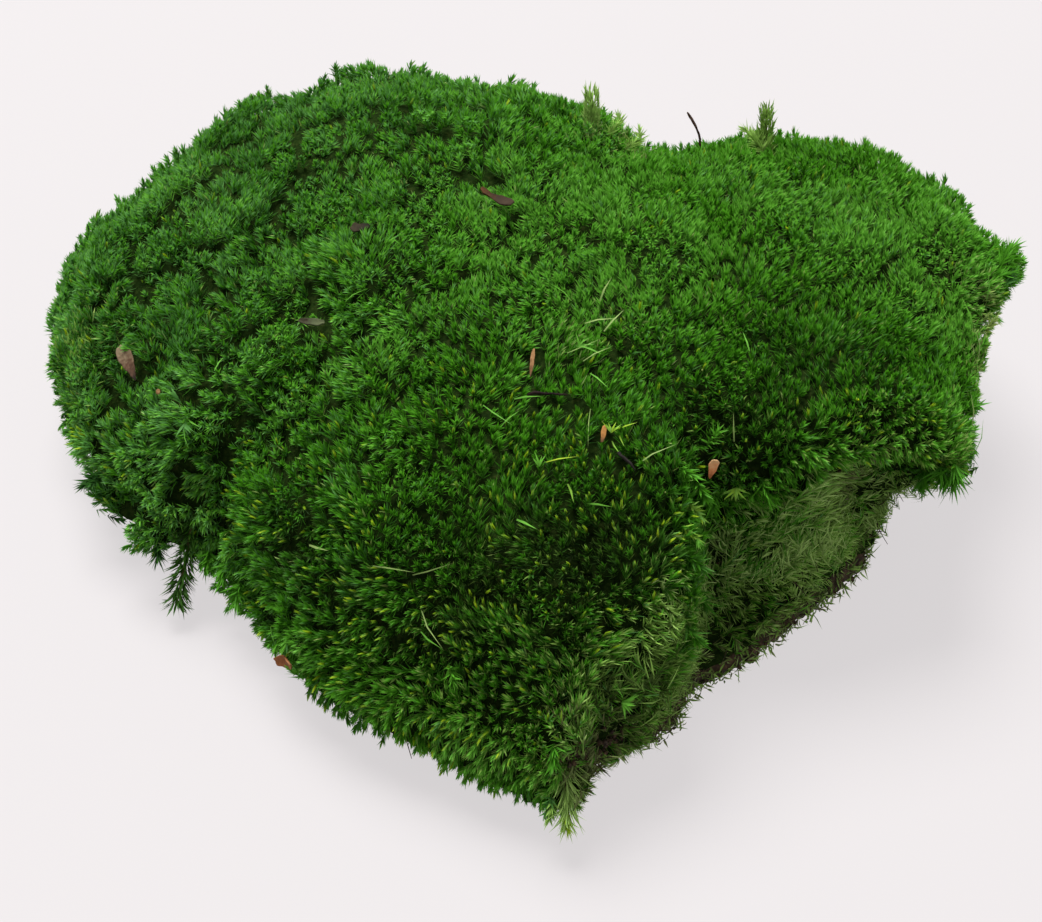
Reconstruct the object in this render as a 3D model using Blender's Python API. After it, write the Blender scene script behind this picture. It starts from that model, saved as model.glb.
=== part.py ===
"""A heart-shaped clump of cushion moss as it was lifted from the ground: the green cushion with its
stray shoots, the mat of humus under it, and the scraps of litter caught on it. Sizes below are in
millimetres. The scene is in metres, +Z up, and the clump rests on z = 0."""

import math

import bmesh
import bpy
from mathutils import Matrix, Vector, noise
from mathutils.bvhtree import BVHTree

MM = 0.001

# The two lobes lie to the back, and the tip points to -Y. The rim is the cushion's widest
# contour, as x, y and height, anticlockwise from the tip.
RIM = (
    (8, -87, 10), (15.5, -76.5, 16), (27, -69, 22), (31, -59, 29), (31, -49, 36), (33, -40, 41),
    (49, -40, 42), (64, -34, 41), (79, -29, 32), (85, -11, 33), (89, 3, 35), (92, 14, 38),
    (97, 30, 39), (92, 48, 35), (85, 66, 33), (70, 80, 31), (49, 85, 30), (33, 78, 30),
    (17, 90, 32), (-5, 97, 33), (-36, 98, 33), (-58, 92, 30), (-76, 80, 27), (-90, 63, 25),
    (-97, 43, 22), (-92, 17, 17), (-84, -6, 13), (-73, -22, 12), (-60, -26, 13),
    (-52, -38, 12), (-36, -60, 12), (-18, -72, 12), (-4, -80, 11),
)
# The foot is where the skin of the cushion turns under, the same way round.
FOOT = (
    (7, -79, 3), (14, -74, 5), (22, -69, 6.5), (28, -64, 7.5), (31, -56, 8), (39, -50, 8),
    (51, -38, 8), (62, -27, 8.5), (70, -16, 8.5), (68, 0, 9), (77, 16, 10), (83, 34, 10),
    (83, 49, 9), (74, 60, 8), (60, 69, 7), (46, 72, 6), (30, 66, 6), (14, 74, 6), (-6, 80, 6),
    (-37, 88, 6), (-56, 84, 6), (-70, 73, 6), (-80, 57, 5), (-88, 37, 5), (-84, 18, 5),
    (-78, -3, 4), (-65, -15, 4), (-53, -23, 3), (-46, -35, 3), (-31, -54, 3),
    (-16, -65, 3), (-4, -73, 3),
)
CROWN = 60.0
# Broad swells and hollows of the crown: x, y, spread and rise.
SWELLS = ((-30, 50, 36, 8), (33, 68, 11, -9), (25, 38, 13, -4), (-70, 10, 25, -6))
# How the skin falls from crown to rim. The torn side, round one direction, has a squarer shoulder.
FALL = 1.9
ROUND_SHOULDER = 2.5
SQUARE_SHOULDER = 5.0
TORN_SIDE = math.radians(-34)
TORN_SPREAD = math.radians(34)
# How far the skin tucks in under an overhang: rounded where that is small, hollow where large.
TUCK_LEAST = 0.8
TUCK_GAIN = 2.0
TUCK_FREE = 9.0
# Lumps of taller growth on the skin, dents between them, and the deep hollow under the flap at the
# torn side's corner: x, y, z, radius and rise.
LUMPS = (
    (-36, 86, 52, 10, 6), (-23, 85, 53, 7, 5), (-58, 84, 47, 8, 3), (99, 28, 38, 8, 4),
    (-71, -24, 12, 8, 5), (-86, -12, 12, 8, 7), (-79, -17, 13, 5, -3), (-80, 60, 42, 22, -4),
    (-47, 85, 47, 7, -5), (11, 80, 45, 7, -4), (95, 43, 42, 7, -4), (87, 56, 40, 6, 3),
    (69, -31, 28, 13, -12), (77, -36, 30, 7, 5),
)
# The unevenness of the skin everywhere: size and rise.
UNEVEN = ((30.0, 2.0), (11.0, 1.1))
UNEVEN_FADE = 6.0

COLUMNS = 104
TOP_ROWS = 24
SIDE_ROWS = 8
# How closely the rows of the top stand towards the middle.
TOP_SPACING = 0.9
UNDERSIDE = 8.0
LIP = 5.0

# Shoots that stand out of the cushion: root, tip and radius.
STRAY_SHOOTS = {
    "shoot_at_tip": ((7.5, -79, 15), (7.8, -89.5, 7), 2.7),
    "shoot_at_left": ((-62, -23, 15), (-65, -31.5, 3.2), 2.8),
    "shoot_at_back": ((14.5, 60, 51), (14.3, 61, 61), 1.8),
    "shoot_on_right_lobe": ((50, 56.5, 48), (49.6, 57.5, 59), 2.2),
}
SHOOT_PROFILE = ((0.0, 0.6), (0.3, 0.9), (0.6, 1.0), (0.85, 0.7), (1.0, 0.2))
SHOOT_SIDES = 8

# The mat stands back from the foot, less so where the foot is high and lets it show.
MAT_COLUMNS = 72
MAT_TOP = 7.7
MAT_INSET_HIDDEN = 9.0
MAT_INSET_SHOWN = 2.5
FOOT_HIDES_MAT = 4.0
FOOT_SHOWS_MAT = 7.0
MAT_RAGGED = 1.2
MAT_RAGS = 9
# The mat's edge from floor to top, as how far it stands in from its widest line, and its height.
MAT_EDGE = ((3.5, 0.0), (1.0, 1.2), (0.0, 3.5), (1.2, MAT_TOP))

# Flat scraps lying on the skin: ends, width, curl of the ends, and an outline as shares of the
# length and of the width.
SCRAP_THICKNESS = 0.45
SCRAP_CUP = 0.25
POINTED = ((0.0, 0.55), (0.25, 1.0), (0.55, 0.85), (0.8, 0.5), (1.0, 0.12))
WAISTED = ((0.0, 0.25), (0.15, 0.5), (0.33, 0.2), (0.5, 0.8), (0.75, 1.0), (1.0, 0.5))
SCALE = ((0.0, 0.6), (0.3, 1.0), (0.7, 0.95), (1.0, 0.5))
STRIP = ((0.0, 0.4), (0.2, 0.9), (0.5, 1.0), (0.8, 0.8), (1.0, 0.3))
FLAT_SCRAPS = {
    "leaf_scrap_left": ((-75.6, 4.4, 37.5), (-71.6, -4.2, 36), 4.4, 1.0, POINTED),
    "bud_scale_front": ((-43, -52, 11.5), (-39.3, -56.4, 14.5), 2.4, 1.0, SCALE),
    "bark_flake_front": ((33.2, -39.5, 47.6), (32.4, -41.2, 44), 2.6, 0.3, POINTED),
    "bark_flake_top": ((-7.6, 18.3, 63.5), (-1.7, 14.3, 62.8), 3.2, 0.6, WAISTED),
    "leaf_scrap_centre": ((14.5, -41.4, 55.5), (13.7, -44.9, 54.6), 1.8, 0.3, SCALE),
    "needle_centre": ((2.4, -25.4, 59.2), (1.6, -31.5, 57.7), 1.1, 0.5, STRIP),
    "husk_left": ((-39.8, -9.1, 53.4), (-34.9, -11.1, 54.8), 1.7, 0.5, STRIP),
    "leaf_scrap_back": ((-31.4, 10.5, 60.7), (-27.8, 8.8, 61.7), 2.2, 0.4, SCALE),
}
# Twigs lying on the skin: ends, radius and rise of the middle.
TWIGS = {
    "twig_centre": ((1.0, -34.6, 56.7), (8.3, -34.3, 56.4), 0.55, 0.5),
    "twig_bit_centre": ((16.4, -46.4, 54.2), (19.2, -49.6, 52.6), 0.5, 0.2),
}
# The dry stalk that stands in the notch, from foot to top, and its radii there.
STALK = ((36.3, 51.4, 53.6), (35.8, 52.2, 56.2), (34.8, 53.2, 58.4), (33.2, 54.4, 60.2))
STALK_RADII = (0.35, 0.3, 0.28, 0.25)
STEM_SIDES = 6
STEM_RINGS = 6
TWIG_TAPER = 0.3
SPECK_SPOT = (-66.4, -9.8, 38)
SPECK_RADII = (0.8, 0.6, 0.45)
# What lies on the skin stays clear of it by the gap, found in a few rounds.
GAP = 0.4
SETTLING_ROUNDS = 3

COLOURS = {
    "moss": (0.03, 0.13, 0.012),
    "humus": (0.035, 0.022, 0.012),
    "dead_leaf": (0.19, 0.07, 0.045),
    "bark": (0.42, 0.2, 0.1),
    "twig": (0.03, 0.022, 0.025),
}
FINISH_OF = {
    "moss_cushion": "moss",
    "humus_mat": "humus",
    "bud_scale_front": "bark",
    "bark_flake_front": "bark",
    "bark_speck_left": "bark",
    "twig_centre": "twig",
    "twig_bit_centre": "twig",
    "seed_stalk_back": "twig",
}
FINISH_OF_THE_REST = "dead_leaf"
ROUGHNESS = 0.85


def material(name):
    """Each part has a material of its own, named after it."""
    made = bpy.data.materials.new(name)
    made.use_nodes = True
    shader = made.node_tree.nodes["Principled BSDF"]
    colour = COLOURS[FINISH_OF.get(name, FINISH_OF_THE_REST)]
    shader.inputs["Base Color"].default_value = (*colour, 1.0)
    shader.inputs["Roughness"].default_value = ROUGHNESS
    shader.inputs["Metallic"].default_value = 0.0
    return made


def as_object(name, bm):
    """Puts a bmesh, modelled in millimetres, into the scene in metres."""
    bmesh.ops.recalc_face_normals(bm, faces=bm.faces)
    bm.transform(Matrix.Scale(MM, 4))
    mesh = bpy.data.meshes.new(name)
    bm.to_mesh(mesh)
    bm.free()
    mesh.shade_smooth()
    obj = bpy.data.objects.new(name, mesh)
    bpy.context.scene.collection.objects.link(obj)
    return obj


def as_part(name, bm):
    obj = as_object(name, bm)
    obj.data.materials.append(material(name))
    return obj


class Contour:
    """A closed contour round the origin, read as radius and height at any direction."""

    def __init__(self, points):
        self.knots = sorted((math.atan2(y, x) % math.tau, math.hypot(x, y), z) for x, y, z in points)

    def at(self, angle):
        angle %= math.tau
        count = len(self.knots)
        upper = next((i for i, knot in enumerate(self.knots) if knot[0] > angle), 0)
        around = [self.knots[(upper + i) % count] for i in (-2, -1, 0, 1)]
        turns = [(knot[0] - angle + math.pi) % math.tau - math.pi for knot in around]
        return tuple(smooth_between(turns, [knot[i] for knot in around]) for i in (1, 2))


def smooth_between(turns, values):
    """The smooth curve through four values, read at turn 0, which lies between the middle two."""
    before, start, end, after = turns
    span = end - start
    t = -start / span
    slope_start = (values[2] - values[0]) / (end - before) * span
    slope_end = (values[3] - values[1]) / (after - start) * span
    return (
        (2 * t**3 - 3 * t**2 + 1) * values[1]
        + (t**3 - 2 * t**2 + t) * slope_start
        + (3 * t**2 - 2 * t**3) * values[2]
        + (t**3 - t**2) * slope_end
    )


def join_columns(bm, columns, first, last):
    """Joins columns of points all round, and closes both ends with a point each."""
    rows = [[bm.verts.new(p) for p in column] for column in columns]
    top, bottom = bm.verts.new(first), bm.verts.new(last)
    for here, beyond in zip(rows, rows[1:] + rows[:1]):
        bm.faces.new((top, here[0], beyond[0]))
        bm.faces.new((bottom, beyond[-1], here[-1]))
        for i in range(len(here) - 1):
            bm.faces.new((here[i], here[i + 1], beyond[i + 1], beyond[i]))


# The cushion

def crown_height(x, y):
    return CROWN + sum(
        rise * math.exp(-((x - at_x) ** 2 + (y - at_y) ** 2) / (2 * spread**2))
        for at_x, at_y, spread, rise in SWELLS
    )


def shoulder(angle):
    turn = (angle - TORN_SIDE + math.pi) % math.tau - math.pi
    squareness = math.exp(-((turn / TORN_SPREAD) ** 4))
    return ROUND_SHOULDER + (SQUARE_SHOULDER - ROUND_SHOULDER) * squareness


def skin_column(angle, rim, foot):
    """One column of the cushion, from beside the crown's middle down to the flat underside."""
    radius, height = rim.at(angle)
    foot_radius, foot_height = foot.at(angle)
    way = Vector((math.cos(angle), math.sin(angle), 0))
    squareness = shoulder(angle)
    tuck = TUCK_LEAST + TUCK_GAIN * max(0.0, radius - foot_radius - TUCK_FREE)
    column = []
    for row in range(1, TOP_ROWS + 1):
        share = math.sin(row / TOP_ROWS * math.pi / 2) ** TOP_SPACING
        spot = way * (radius * share)
        lift = max(0.0, 1 - share**squareness) ** (1 / FALL)
        column.append(Vector((spot.x, spot.y, height + (crown_height(spot.x, spot.y) - height) * lift)))
    for row in range(1, SIDE_ROWS + 1):
        turn = row / SIDE_ROWS * math.pi / 2
        out = foot_radius + (radius - foot_radius) * max(0.0, math.cos(turn)) ** tuck
        column.append(way * out + Vector((0, 0, height + (foot_height - height) * math.sin(turn))))
    column.append(way * (foot_radius - LIP) + Vector((0, 0, UNDERSIDE)))
    column.append(way * (foot_radius / 2) + Vector((0, 0, UNDERSIDE)))
    return column


def roughen(bm):
    """Moves the skin along its normals by two sizes of unevenness and by the lumps."""
    bmesh.ops.recalc_face_normals(bm, faces=bm.faces)
    bm.normal_update()
    moves = []
    for vert in bm.verts:
        fade = min(1.0, max(0.0, (vert.co.z - UNDERSIDE) / UNEVEN_FADE))
        move = sum(rise * noise.noise(vert.co / size) for size, rise in UNEVEN)
        for x, y, z, radius, rise in LUMPS:
            away = (vert.co - Vector((x, y, z))).length / radius
            move += rise * max(0.0, 1 - away**2) ** 1.5
        moves.append(vert.normal * (move * fade))
    for vert, move in zip(bm.verts, moves):
        vert.co += move


def stray_shoot(name, root, tip, radius):
    """A spindle round the line from root to tip: a guide that is joined to the cushion."""
    root, tip = Vector(root), Vector(tip)
    turned = (tip - root).to_track_quat("Z", "Y").to_matrix()
    length = (tip - root).length
    bm = bmesh.new()
    columns = []
    for side in range(SHOOT_SIDES):
        angle = side / SHOOT_SIDES * math.tau
        way = Vector((math.cos(angle), math.sin(angle), 0))
        points = (way * (radius * wide) + Vector((0, 0, length * share)) for share, wide in SHOOT_PROFILE)
        columns.append([root + turned @ point for point in points])
    join_columns(bm, columns, root, tip)
    guide = as_object(name, bm)
    guide.hide_render = True
    guide.display_type = "WIRE"
    return guide


def moss_cushion(rim, foot):
    """Makes the cushion, and returns its skin, in millimetres, for what lies on it."""
    bm = bmesh.new()
    angles = [i / COLUMNS * math.tau for i in range(COLUMNS)]
    columns = [skin_column(angle, rim, foot) for angle in angles]
    join_columns(bm, columns, (0, 0, crown_height(0, 0)), (0, 0, UNDERSIDE))
    roughen(bm)
    skin = BVHTree.FromBMesh(bm)
    cushion = as_part("moss_cushion", bm)
    for name, (root, tip, radius) in STRAY_SHOOTS.items():
        join = cushion.modifiers.new(name, "BOOLEAN")
        join.operation = "UNION"
        join.object = stray_shoot(name, root, tip, radius)
    return skin


# The humus

def humus_mat(foot):
    """The dark layer of dead stems and peat, which shows along the torn side."""
    bm = bmesh.new()
    columns = []
    for i in range(MAT_COLUMNS):
        angle = i / MAT_COLUMNS * math.tau
        radius, height = foot.at(angle)
        shown = min(1.0, max(0.0, (height - FOOT_HIDES_MAT) / (FOOT_SHOWS_MAT - FOOT_HIDES_MAT)))
        way = Vector((math.cos(angle), math.sin(angle), 0))
        inset = MAT_INSET_HIDDEN + (MAT_INSET_SHOWN - MAT_INSET_HIDDEN) * shown
        edge = radius - inset + MAT_RAGGED * noise.noise(way * MAT_RAGS)
        side = [way * (edge - inward) + Vector((0, 0, up)) for inward, up in MAT_EDGE]
        columns.append([way * edge / 2] + side)
    join_columns(bm, columns, (0, 0, 0), (0, 0, MAT_TOP))
    as_part("humus_mat", bm)


# The litter

def on_skin(skin, start, end, share):
    """The spot of the skin nearest to a point between two others, with the axes of the skin there."""
    spot, up, _, _ = skin.find_nearest(Vector(start).lerp(Vector(end), share))
    along = Vector(end) - Vector(start)
    along = (along - up * along.dot(up)).normalized()
    return spot, along, up.cross(along), up


def centre_of(verts):
    return sum((vert.co for vert in verts), Vector()) / len(verts)


def height_over(skin, spot):
    near, normal, _, _ = skin.find_nearest(spot)
    return (spot - near).dot(normal)


def settle(bm, skin):
    """Lifts a scrap until all of it is clear of the skin by the gap."""
    up = skin.find_nearest(centre_of(bm.verts))[1]
    for _ in range(SETTLING_ROUNDS):
        spots = [vert.co for vert in bm.verts] + [face.calc_center_median() for face in bm.faces]
        clear = min(height_over(skin, spot) for spot in spots)
        bmesh.ops.translate(bm, verts=bm.verts, vec=up * (GAP - clear))


def cap_ring(bm, ring):
    """Closes an end of a tube with a fan round the ring's middle."""
    middle = bm.verts.new(centre_of(ring))
    for here, beyond in zip(ring, ring[1:] + ring[:1]):
        bm.faces.new((here, beyond, middle))


def tube(rings):
    """A closed tube through rings of points."""
    bm = bmesh.new()
    made = [[bm.verts.new(point) for point in ring] for ring in rings]
    for here, beyond in zip(made, made[1:]):
        for i in range(len(here)):
            j = (i + 1) % len(here)
            bm.faces.new((here[i], here[j], beyond[j], beyond[i]))
    cap_ring(bm, made[0])
    cap_ring(bm, made[-1])
    bmesh.ops.recalc_face_normals(bm, faces=bm.faces)
    return bm


def flat_scrap(name, skin, start, end, width, curl, outline):
    rings = []
    for share, wide in outline:
        spot, along, across, up = on_skin(skin, start, end, share)
        half = width / 2 * wide
        rise = curl * (2 * share - 1) ** 2
        section = ((-half, SCRAP_CUP), (0, 0), (half, SCRAP_CUP), (half, SCRAP_CUP + SCRAP_THICKNESS),
                   (0, SCRAP_THICKNESS), (-half, SCRAP_CUP + SCRAP_THICKNESS))
        rings.append([spot + across * out + up * (height + rise) for out, height in section])
    bm = tube(rings)
    settle(bm, skin)
    as_part(name, bm)


def stem(middles, radii):
    """A round stem along a line of points."""
    rings = []
    for i, (middle, radius) in enumerate(zip(middles, radii)):
        ahead = middles[min(i + 1, len(middles) - 1)] - middles[max(i - 1, 0)]
        turned = ahead.to_track_quat("Z", "Y").to_matrix()
        angles = [side / STEM_SIDES * math.tau for side in range(STEM_SIDES)]
        rings.append([middle + turned @ Vector((math.cos(a), math.sin(a), 0)) * radius for a in angles])
    return tube(rings)


def twig(name, skin, start, end, radius, rise):
    middles = []
    for i in range(STEM_RINGS):
        share = i / (STEM_RINGS - 1)
        spot, _, _, up = on_skin(skin, start, end, share)
        middles.append(spot + up * (radius + rise * math.sin(share * math.pi)))
    bm = stem(middles, [radius * (1 - TWIG_TAPER * i / STEM_RINGS) for i in range(STEM_RINGS)])
    settle(bm, skin)
    as_part(name, bm)


def bark_speck(skin):
    spot, up, _, _ = skin.find_nearest(Vector(SPECK_SPOT))
    bm = bmesh.new()
    bmesh.ops.create_icosphere(bm, subdivisions=1, radius=1)
    turned = up.to_track_quat("Z", "Y").to_matrix().to_4x4()
    bm.transform(Matrix.Translation(spot + up) @ turned @ Matrix.Diagonal((*SPECK_RADII, 1)))
    bm.normal_update()
    settle(bm, skin)
    as_part("bark_speck_left", bm)


def litter(skin):
    for name, scrap in FLAT_SCRAPS.items():
        flat_scrap(name, skin, *scrap)
    for name, bit in TWIGS.items():
        twig(name, skin, *bit)
    stalk = stem([Vector(point) for point in STALK], STALK_RADII)
    settle(stalk, skin)
    as_part("seed_stalk_back", stalk)
    bark_speck(skin)


def stand_on_origin():
    """Moves everything so that the middle of the whole's box is at x = y = 0."""
    bpy.context.view_layer.update()
    depsgraph = bpy.context.evaluated_depsgraph_get()
    parts = [obj for obj in bpy.data.objects if not obj.hide_render]
    points = [vert.co for obj in parts for vert in obj.evaluated_get(depsgraph).data.vertices]
    lows = [min(point[i] for point in points) for i in range(2)]
    highs = [max(point[i] for point in points) for i in range(2)]
    middle = Vector(((lows[0] + highs[0]) / 2, (lows[1] + highs[1]) / 2, 0))
    for obj in bpy.data.objects:
        obj.location = -middle


def main():
    for obj in list(bpy.data.objects):
        bpy.data.objects.remove(obj)
    rim = Contour(RIM)
    foot = Contour(FOOT)
    skin = moss_cushion(rim, foot)
    humus_mat(foot)
    litter(skin)
    stand_on_origin()


main()
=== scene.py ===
"""Looks of the moss clump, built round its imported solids.

Shapes are worked out in millimetres in the model's own frame, and turned into metres as each mesh is made.
"""
import math

import bpy
import numpy as np
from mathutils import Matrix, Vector, noise
from mathutils.bvhtree import BVHTree
from mathutils.kdtree import KDTree


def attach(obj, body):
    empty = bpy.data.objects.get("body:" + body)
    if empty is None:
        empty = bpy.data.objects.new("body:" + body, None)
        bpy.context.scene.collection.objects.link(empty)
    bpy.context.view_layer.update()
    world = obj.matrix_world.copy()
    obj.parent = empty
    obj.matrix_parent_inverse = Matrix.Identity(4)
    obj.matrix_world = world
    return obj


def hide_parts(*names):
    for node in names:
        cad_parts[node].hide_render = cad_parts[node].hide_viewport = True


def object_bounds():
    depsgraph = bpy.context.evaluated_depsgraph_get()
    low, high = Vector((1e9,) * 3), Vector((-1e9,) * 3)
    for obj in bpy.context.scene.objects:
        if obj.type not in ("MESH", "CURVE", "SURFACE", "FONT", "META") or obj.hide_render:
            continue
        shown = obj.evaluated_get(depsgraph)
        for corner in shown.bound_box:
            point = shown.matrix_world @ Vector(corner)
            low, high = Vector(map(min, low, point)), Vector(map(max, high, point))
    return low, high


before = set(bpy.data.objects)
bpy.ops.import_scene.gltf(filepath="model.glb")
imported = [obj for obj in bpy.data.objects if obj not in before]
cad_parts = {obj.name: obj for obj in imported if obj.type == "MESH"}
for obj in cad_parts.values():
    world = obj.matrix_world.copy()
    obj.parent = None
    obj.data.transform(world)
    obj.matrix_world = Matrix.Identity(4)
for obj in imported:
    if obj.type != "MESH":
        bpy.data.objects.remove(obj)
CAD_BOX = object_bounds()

MM = 0.001
UP = np.array((0.0, 0.0, 1.0))
GOLDEN_ANGLE = math.pi * (3 - math.sqrt(5))

# The source's plan was drawn round another origin, and this is where that origin lies in the frame.
PLAN_ORIGIN = np.array((-1.890, -4.528, 0.0))

# Camera: where it aims, in the plan's own coordinates, and how it looks there.
AIM = (0.0, -16.0, 27.0)
CAMERA_DISTANCE = 432.0
CAMERA_ELEVATION = math.radians(40)
LENS = 80.0
SENSOR_WIDTH = 36.0
PHOTO_WIDTH, PHOTO_HEIGHT = 1042, 922
BACK = np.array((0, -math.cos(CAMERA_ELEVATION), math.sin(CAMERA_ELEVATION)))
EYE = (np.array(AIM) + PLAN_ORIGIN) + CAMERA_DISTANCE * BACK
FOCAL = LENS / SENSOR_WIDTH * PHOTO_WIDTH

# Light and floor
SKY = (1.0, 0.985, 0.985)
SKY_STRENGTH = 0.68
KEY_PLACE = (-1.3, 2.5, 6.1)
KEY_SIZE = 4.4
KEY_POWER = 1240.0
KEY_COLOUR = (1.0, 0.99, 0.97)
FLOOR_COLOUR = (0.07, 0.067, 0.068)
# The floor's glow is painted light: it thins the shadows cast on the floor and lights the moss from below.
FLOOR_GLOW = (0.648, 0.622, 0.63)
FLOOR_RADIUS = 3.0
FLOOR_SIDES = 96
FLOOR_DROP = 0.00005

# The side that was torn from the ground: the way it faces, and its compass range round the origin
TORN_FACING = math.radians(-34)
TORN_FROM, TORN_TO = math.radians(-84), math.radians(-12)
# Height at which the green moss ends above the torn side, by place from left to right in the plan
TORN_TOP = ((8, 12), (24, 19), (30, 22), (35, 37), (58, 41), (64, 35), (70, 30), (92, 20))

# Single shoots that stand clear of the rest, as the source draws them in its plan: from, to, radius.
STRAY_SHOOTS = (
    ((7.5, -79, 15), (7.8, -89.5, 7), 2.7),
    ((-62, -23, 15), (-65, -31.5, 3.2), 2.8),
    ((14.5, 60, 51), (14.3, 61, 61), 1.8),
    ((50, 56.5, 48), (49.6, 57.5, 59), 2.2),
)

# Their leaves: count, length, lean at the foot and at the tip, how far from the stem they start, width, tone
STRAY_LEAVES = (
    (190, 4.4, (50, 20), 0.6, 0.34, 0.925),
    (360, 2.8, (54, 34), 1.3, 0.42, 0.1),
    # This shoot's pale tone is partly painted light on its leaves that face the camera.
    (260, 2.3, (18, 6), 1.6, 0.42, 0.92),
    (320, 2.0, (30, 6), 1.4, 0.4, 0.885),
)

# Patches of lighter and darker moss, partly its own tone and partly painted light and shade: pixel of the
# centre, radius, change of tone
LIGHT_SHADE_AND_TONE_PATCHES = (
    (540, 590, 26, -0.1), (470, 690, 24, 0.07), (550, 760, 16, 0.14), (800, 330, 20, -0.09),
    (825, 430, 12, 0.08), (540, 500, 30, -0.05), (955, 290, 18, 0.06), (520, 190, 26, 0.07),
    (370, 440, 24, -0.04), (180, 270, 22, -0.02), (90, 365, 11, -0.16), (362, 208, 4, -0.3),
    (170, 225, 6, -0.14), (240, 180, 5, -0.14), (300, 240, 4, -0.2), (640, 330, 14, 0.05),
    (430, 100, 12, -0.06), (520, 110, 10, -0.06), (170, 450, 20, 0.14), (565, 765, 10, 0.06),
    (460, 690, 16, 0.06), (75, 430, 12, 0.2), (940, 290, 16, 0.14), (830, 350, 18, -0.12),
    (910, 345, 8, -0.15), (270, 140, 20, -0.06), (250, 395, 11, 0.2), (320, 335, 11, 0.13),
    (520, 225, 20, 0.07), (945, 440, 9, 0.14), (870, 440, 11, 0.2), (910, 445, 7, 0.12),
    (800, 235, 24, 0.05), (650, 620, 11, 0.14), (660, 665, 9, 0.12), (600, 690, 12, 0.03),
    (370, 705, 12, 0.14), (440, 745, 9, 0.26), (460, 490, 13, 0.08), (286, 505, 9, -0.12),
    (546, 546, 9, -0.12), (130, 505, 12, 0.12), (190, 545, 9, 0.16), (245, 590, 8, 0.12),
    (290, 640, 8, 0.12), (80, 330, 9, -0.14), (234, 338, 8, -0.08), (234, 494, 8, -0.1), (748, 494, 7, 0.2),
    (720, 504, 7, 0.12), (706, 538, 5, 0.1), (75, 445, 8, 0.26), (182, 520, 11, 0.14), (806, 390, 8, -0.1),
    (494, 238, 8, 0.24), (830, 205, 12, 0.1), (170, 245, 17, 0.08), (598, 286, 8, 0.1), (338, 338, 8, 0.06),
    (182, 338, 8, -0.12), (710, 390, 13, -0.09), (442, 622, 10, -0.12), (185, 182, 8, 0.28),
    (78, 385, 7, 0.22), (494, 186, 7, 0.08), (600, 338, 9, -0.08), (965, 288, 8, 0.32),
    (390, 520, 11, 0.08), (860, 195, 12, 0.06), (780, 447, 9, 0.08), (330, 215, 14, 0.05),
    (680, 240, 14, 0.07), (602, 138, 7, 0.12), (546, 182, 8, 0.13), (494, 762, 8, 0.2),
    (963, 365, 8, -0.12), (545, 800, 4, 0.3), (286, 655, 6, 0.2), (338, 705, 6, 0.14), (390, 340, 7, 0.08),
    (182, 546, 7, 0.16),
)

# Where the torn side's old strands reach further, or less far, than its form says: pixel, radius, amount
TORN_PATCHES = (
    (640, 682, 8, 0.7), (662, 645, 7, 0.6), (612, 705, 7, 0.6), (682, 610, 5, 0.5), (650, 715, 7, 0.7),
    (590, 728, 6, 0.4), (716, 500, 5, -0.7), (742, 490, 5, -0.5), (706, 530, 4, -0.5), (700, 560, 3, -0.4),
)

# Lighter and darker strands of the torn side, with painted shade under the flap and painted light by the
# ridge: pixel of the centre, radius, change of tone
WALL_LIGHT_SHADE_AND_TONE_PATCHES = (
    (722, 560, 10, 0.02), (708, 630, 7, -0.02), (868, 552, 3, -0.06), (864, 480, 6, -0.08),
    (800, 545, 14, 0.02), (765, 622, 10, -0.02), (578, 704, 5, -0.04), (830, 500, 8, -0.02),
    (775, 500, 8, -0.01), (645, 672, 13, -0.055), (612, 708, 9, -0.03), (650, 715, 7, -0.02),
)

# Pale flattened leaves: pixel of the centre, radius, share of the leaves
PALE_PATCHES = (
    (994, 300, 4, 0.7), (988, 330, 4, 0.7), (984, 365, 4, 0.65), (980, 400, 4, 0.6), (974, 440, 4, 0.45),
    (622, 128, 4, 0.6), (590, 122, 3, 0.6), (634, 142, 3, 0.5), (575, 345, 6, 0.12), (610, 320, 6, 0.12),
    (960, 262, 5, 0.12), (700, 300, 8, 0.03),
)

# Olive leaves among the green ones, in the same way
OLIVE_PATCHES = (
    (560, 685, 22, 0.16), (480, 700, 18, 0.12), (645, 655, 12, 0.3), (880, 450, 13, 0.25),
    (955, 460, 8, 0.3), (70, 350, 12, 0.25), (560, 770, 9, 0.2), (740, 450, 8, 0.15), (400, 690, 16, 0.1),
    (185, 500, 10, 0.1),
)

# Bare brown hollows: pixel of the centre, radius, depth of the effect
BARE_PATCHES = (
    (594, 768, 5.5, 1.3), (616, 750, 4.5, 1.0), (864, 480, 5, 0.7), (560, 706, 3, 0.4),
)

# Where the moss stands higher or lower along its edge: pixel of the centre, radius, how much
RISE_PATCHES = (
    (340, 72, 5, 2.2), (402, 64, 3, 1.4), (300, 88, 7, -2.6), (424, 63, 5, -2.0), (480, 73, 9, -1.3),
    (575, 98, 4, -2.0), (192, 134, 4, -2.2), (146, 178, 4, 1.8), (98, 214, 5, 1.3), (62, 266, 4, -1.8),
    (48, 318, 4, 0.8), (48, 355, 5, -1.4), (60, 412, 5, -1.6), (82, 491, 3, 1.0), (110, 511, 5, -1.4),
    (130, 546, 5, -1.9), (202, 576, 3, 1.4), (300, 686, 5, 0.8), (360, 726, 7, 1.5), (412, 741, 6, 0.9),
    (470, 774, 7, 2.2), (547, 812, 4, -1.6), (686, 707, 5, -2.8), (718, 682, 6, -1.4), (638, 748, 4, 1.6),
    (600, 772, 4, 2.0), (846, 582, 6, -2.4), (888, 517, 5, -2.8), (908, 488, 4, -2.4), (945, 493, 3, 1.4),
    (963, 473, 3, -0.9), (978, 400, 5, 0.8), (998, 310, 4, 1.1), (1018, 262, 3, 1.2), (986, 342, 4, 0.9),
    (985, 228, 4, -1.8), (966, 200, 4, 1.5), (880, 156, 8, 1.1), (830, 142, 7, 1.1), (720, 136, 8, -1.5),
    (675, 146, 6, -1.5), (745, 129, 4, -1.6), (255, 98, 3, 0.9),
)

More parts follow.
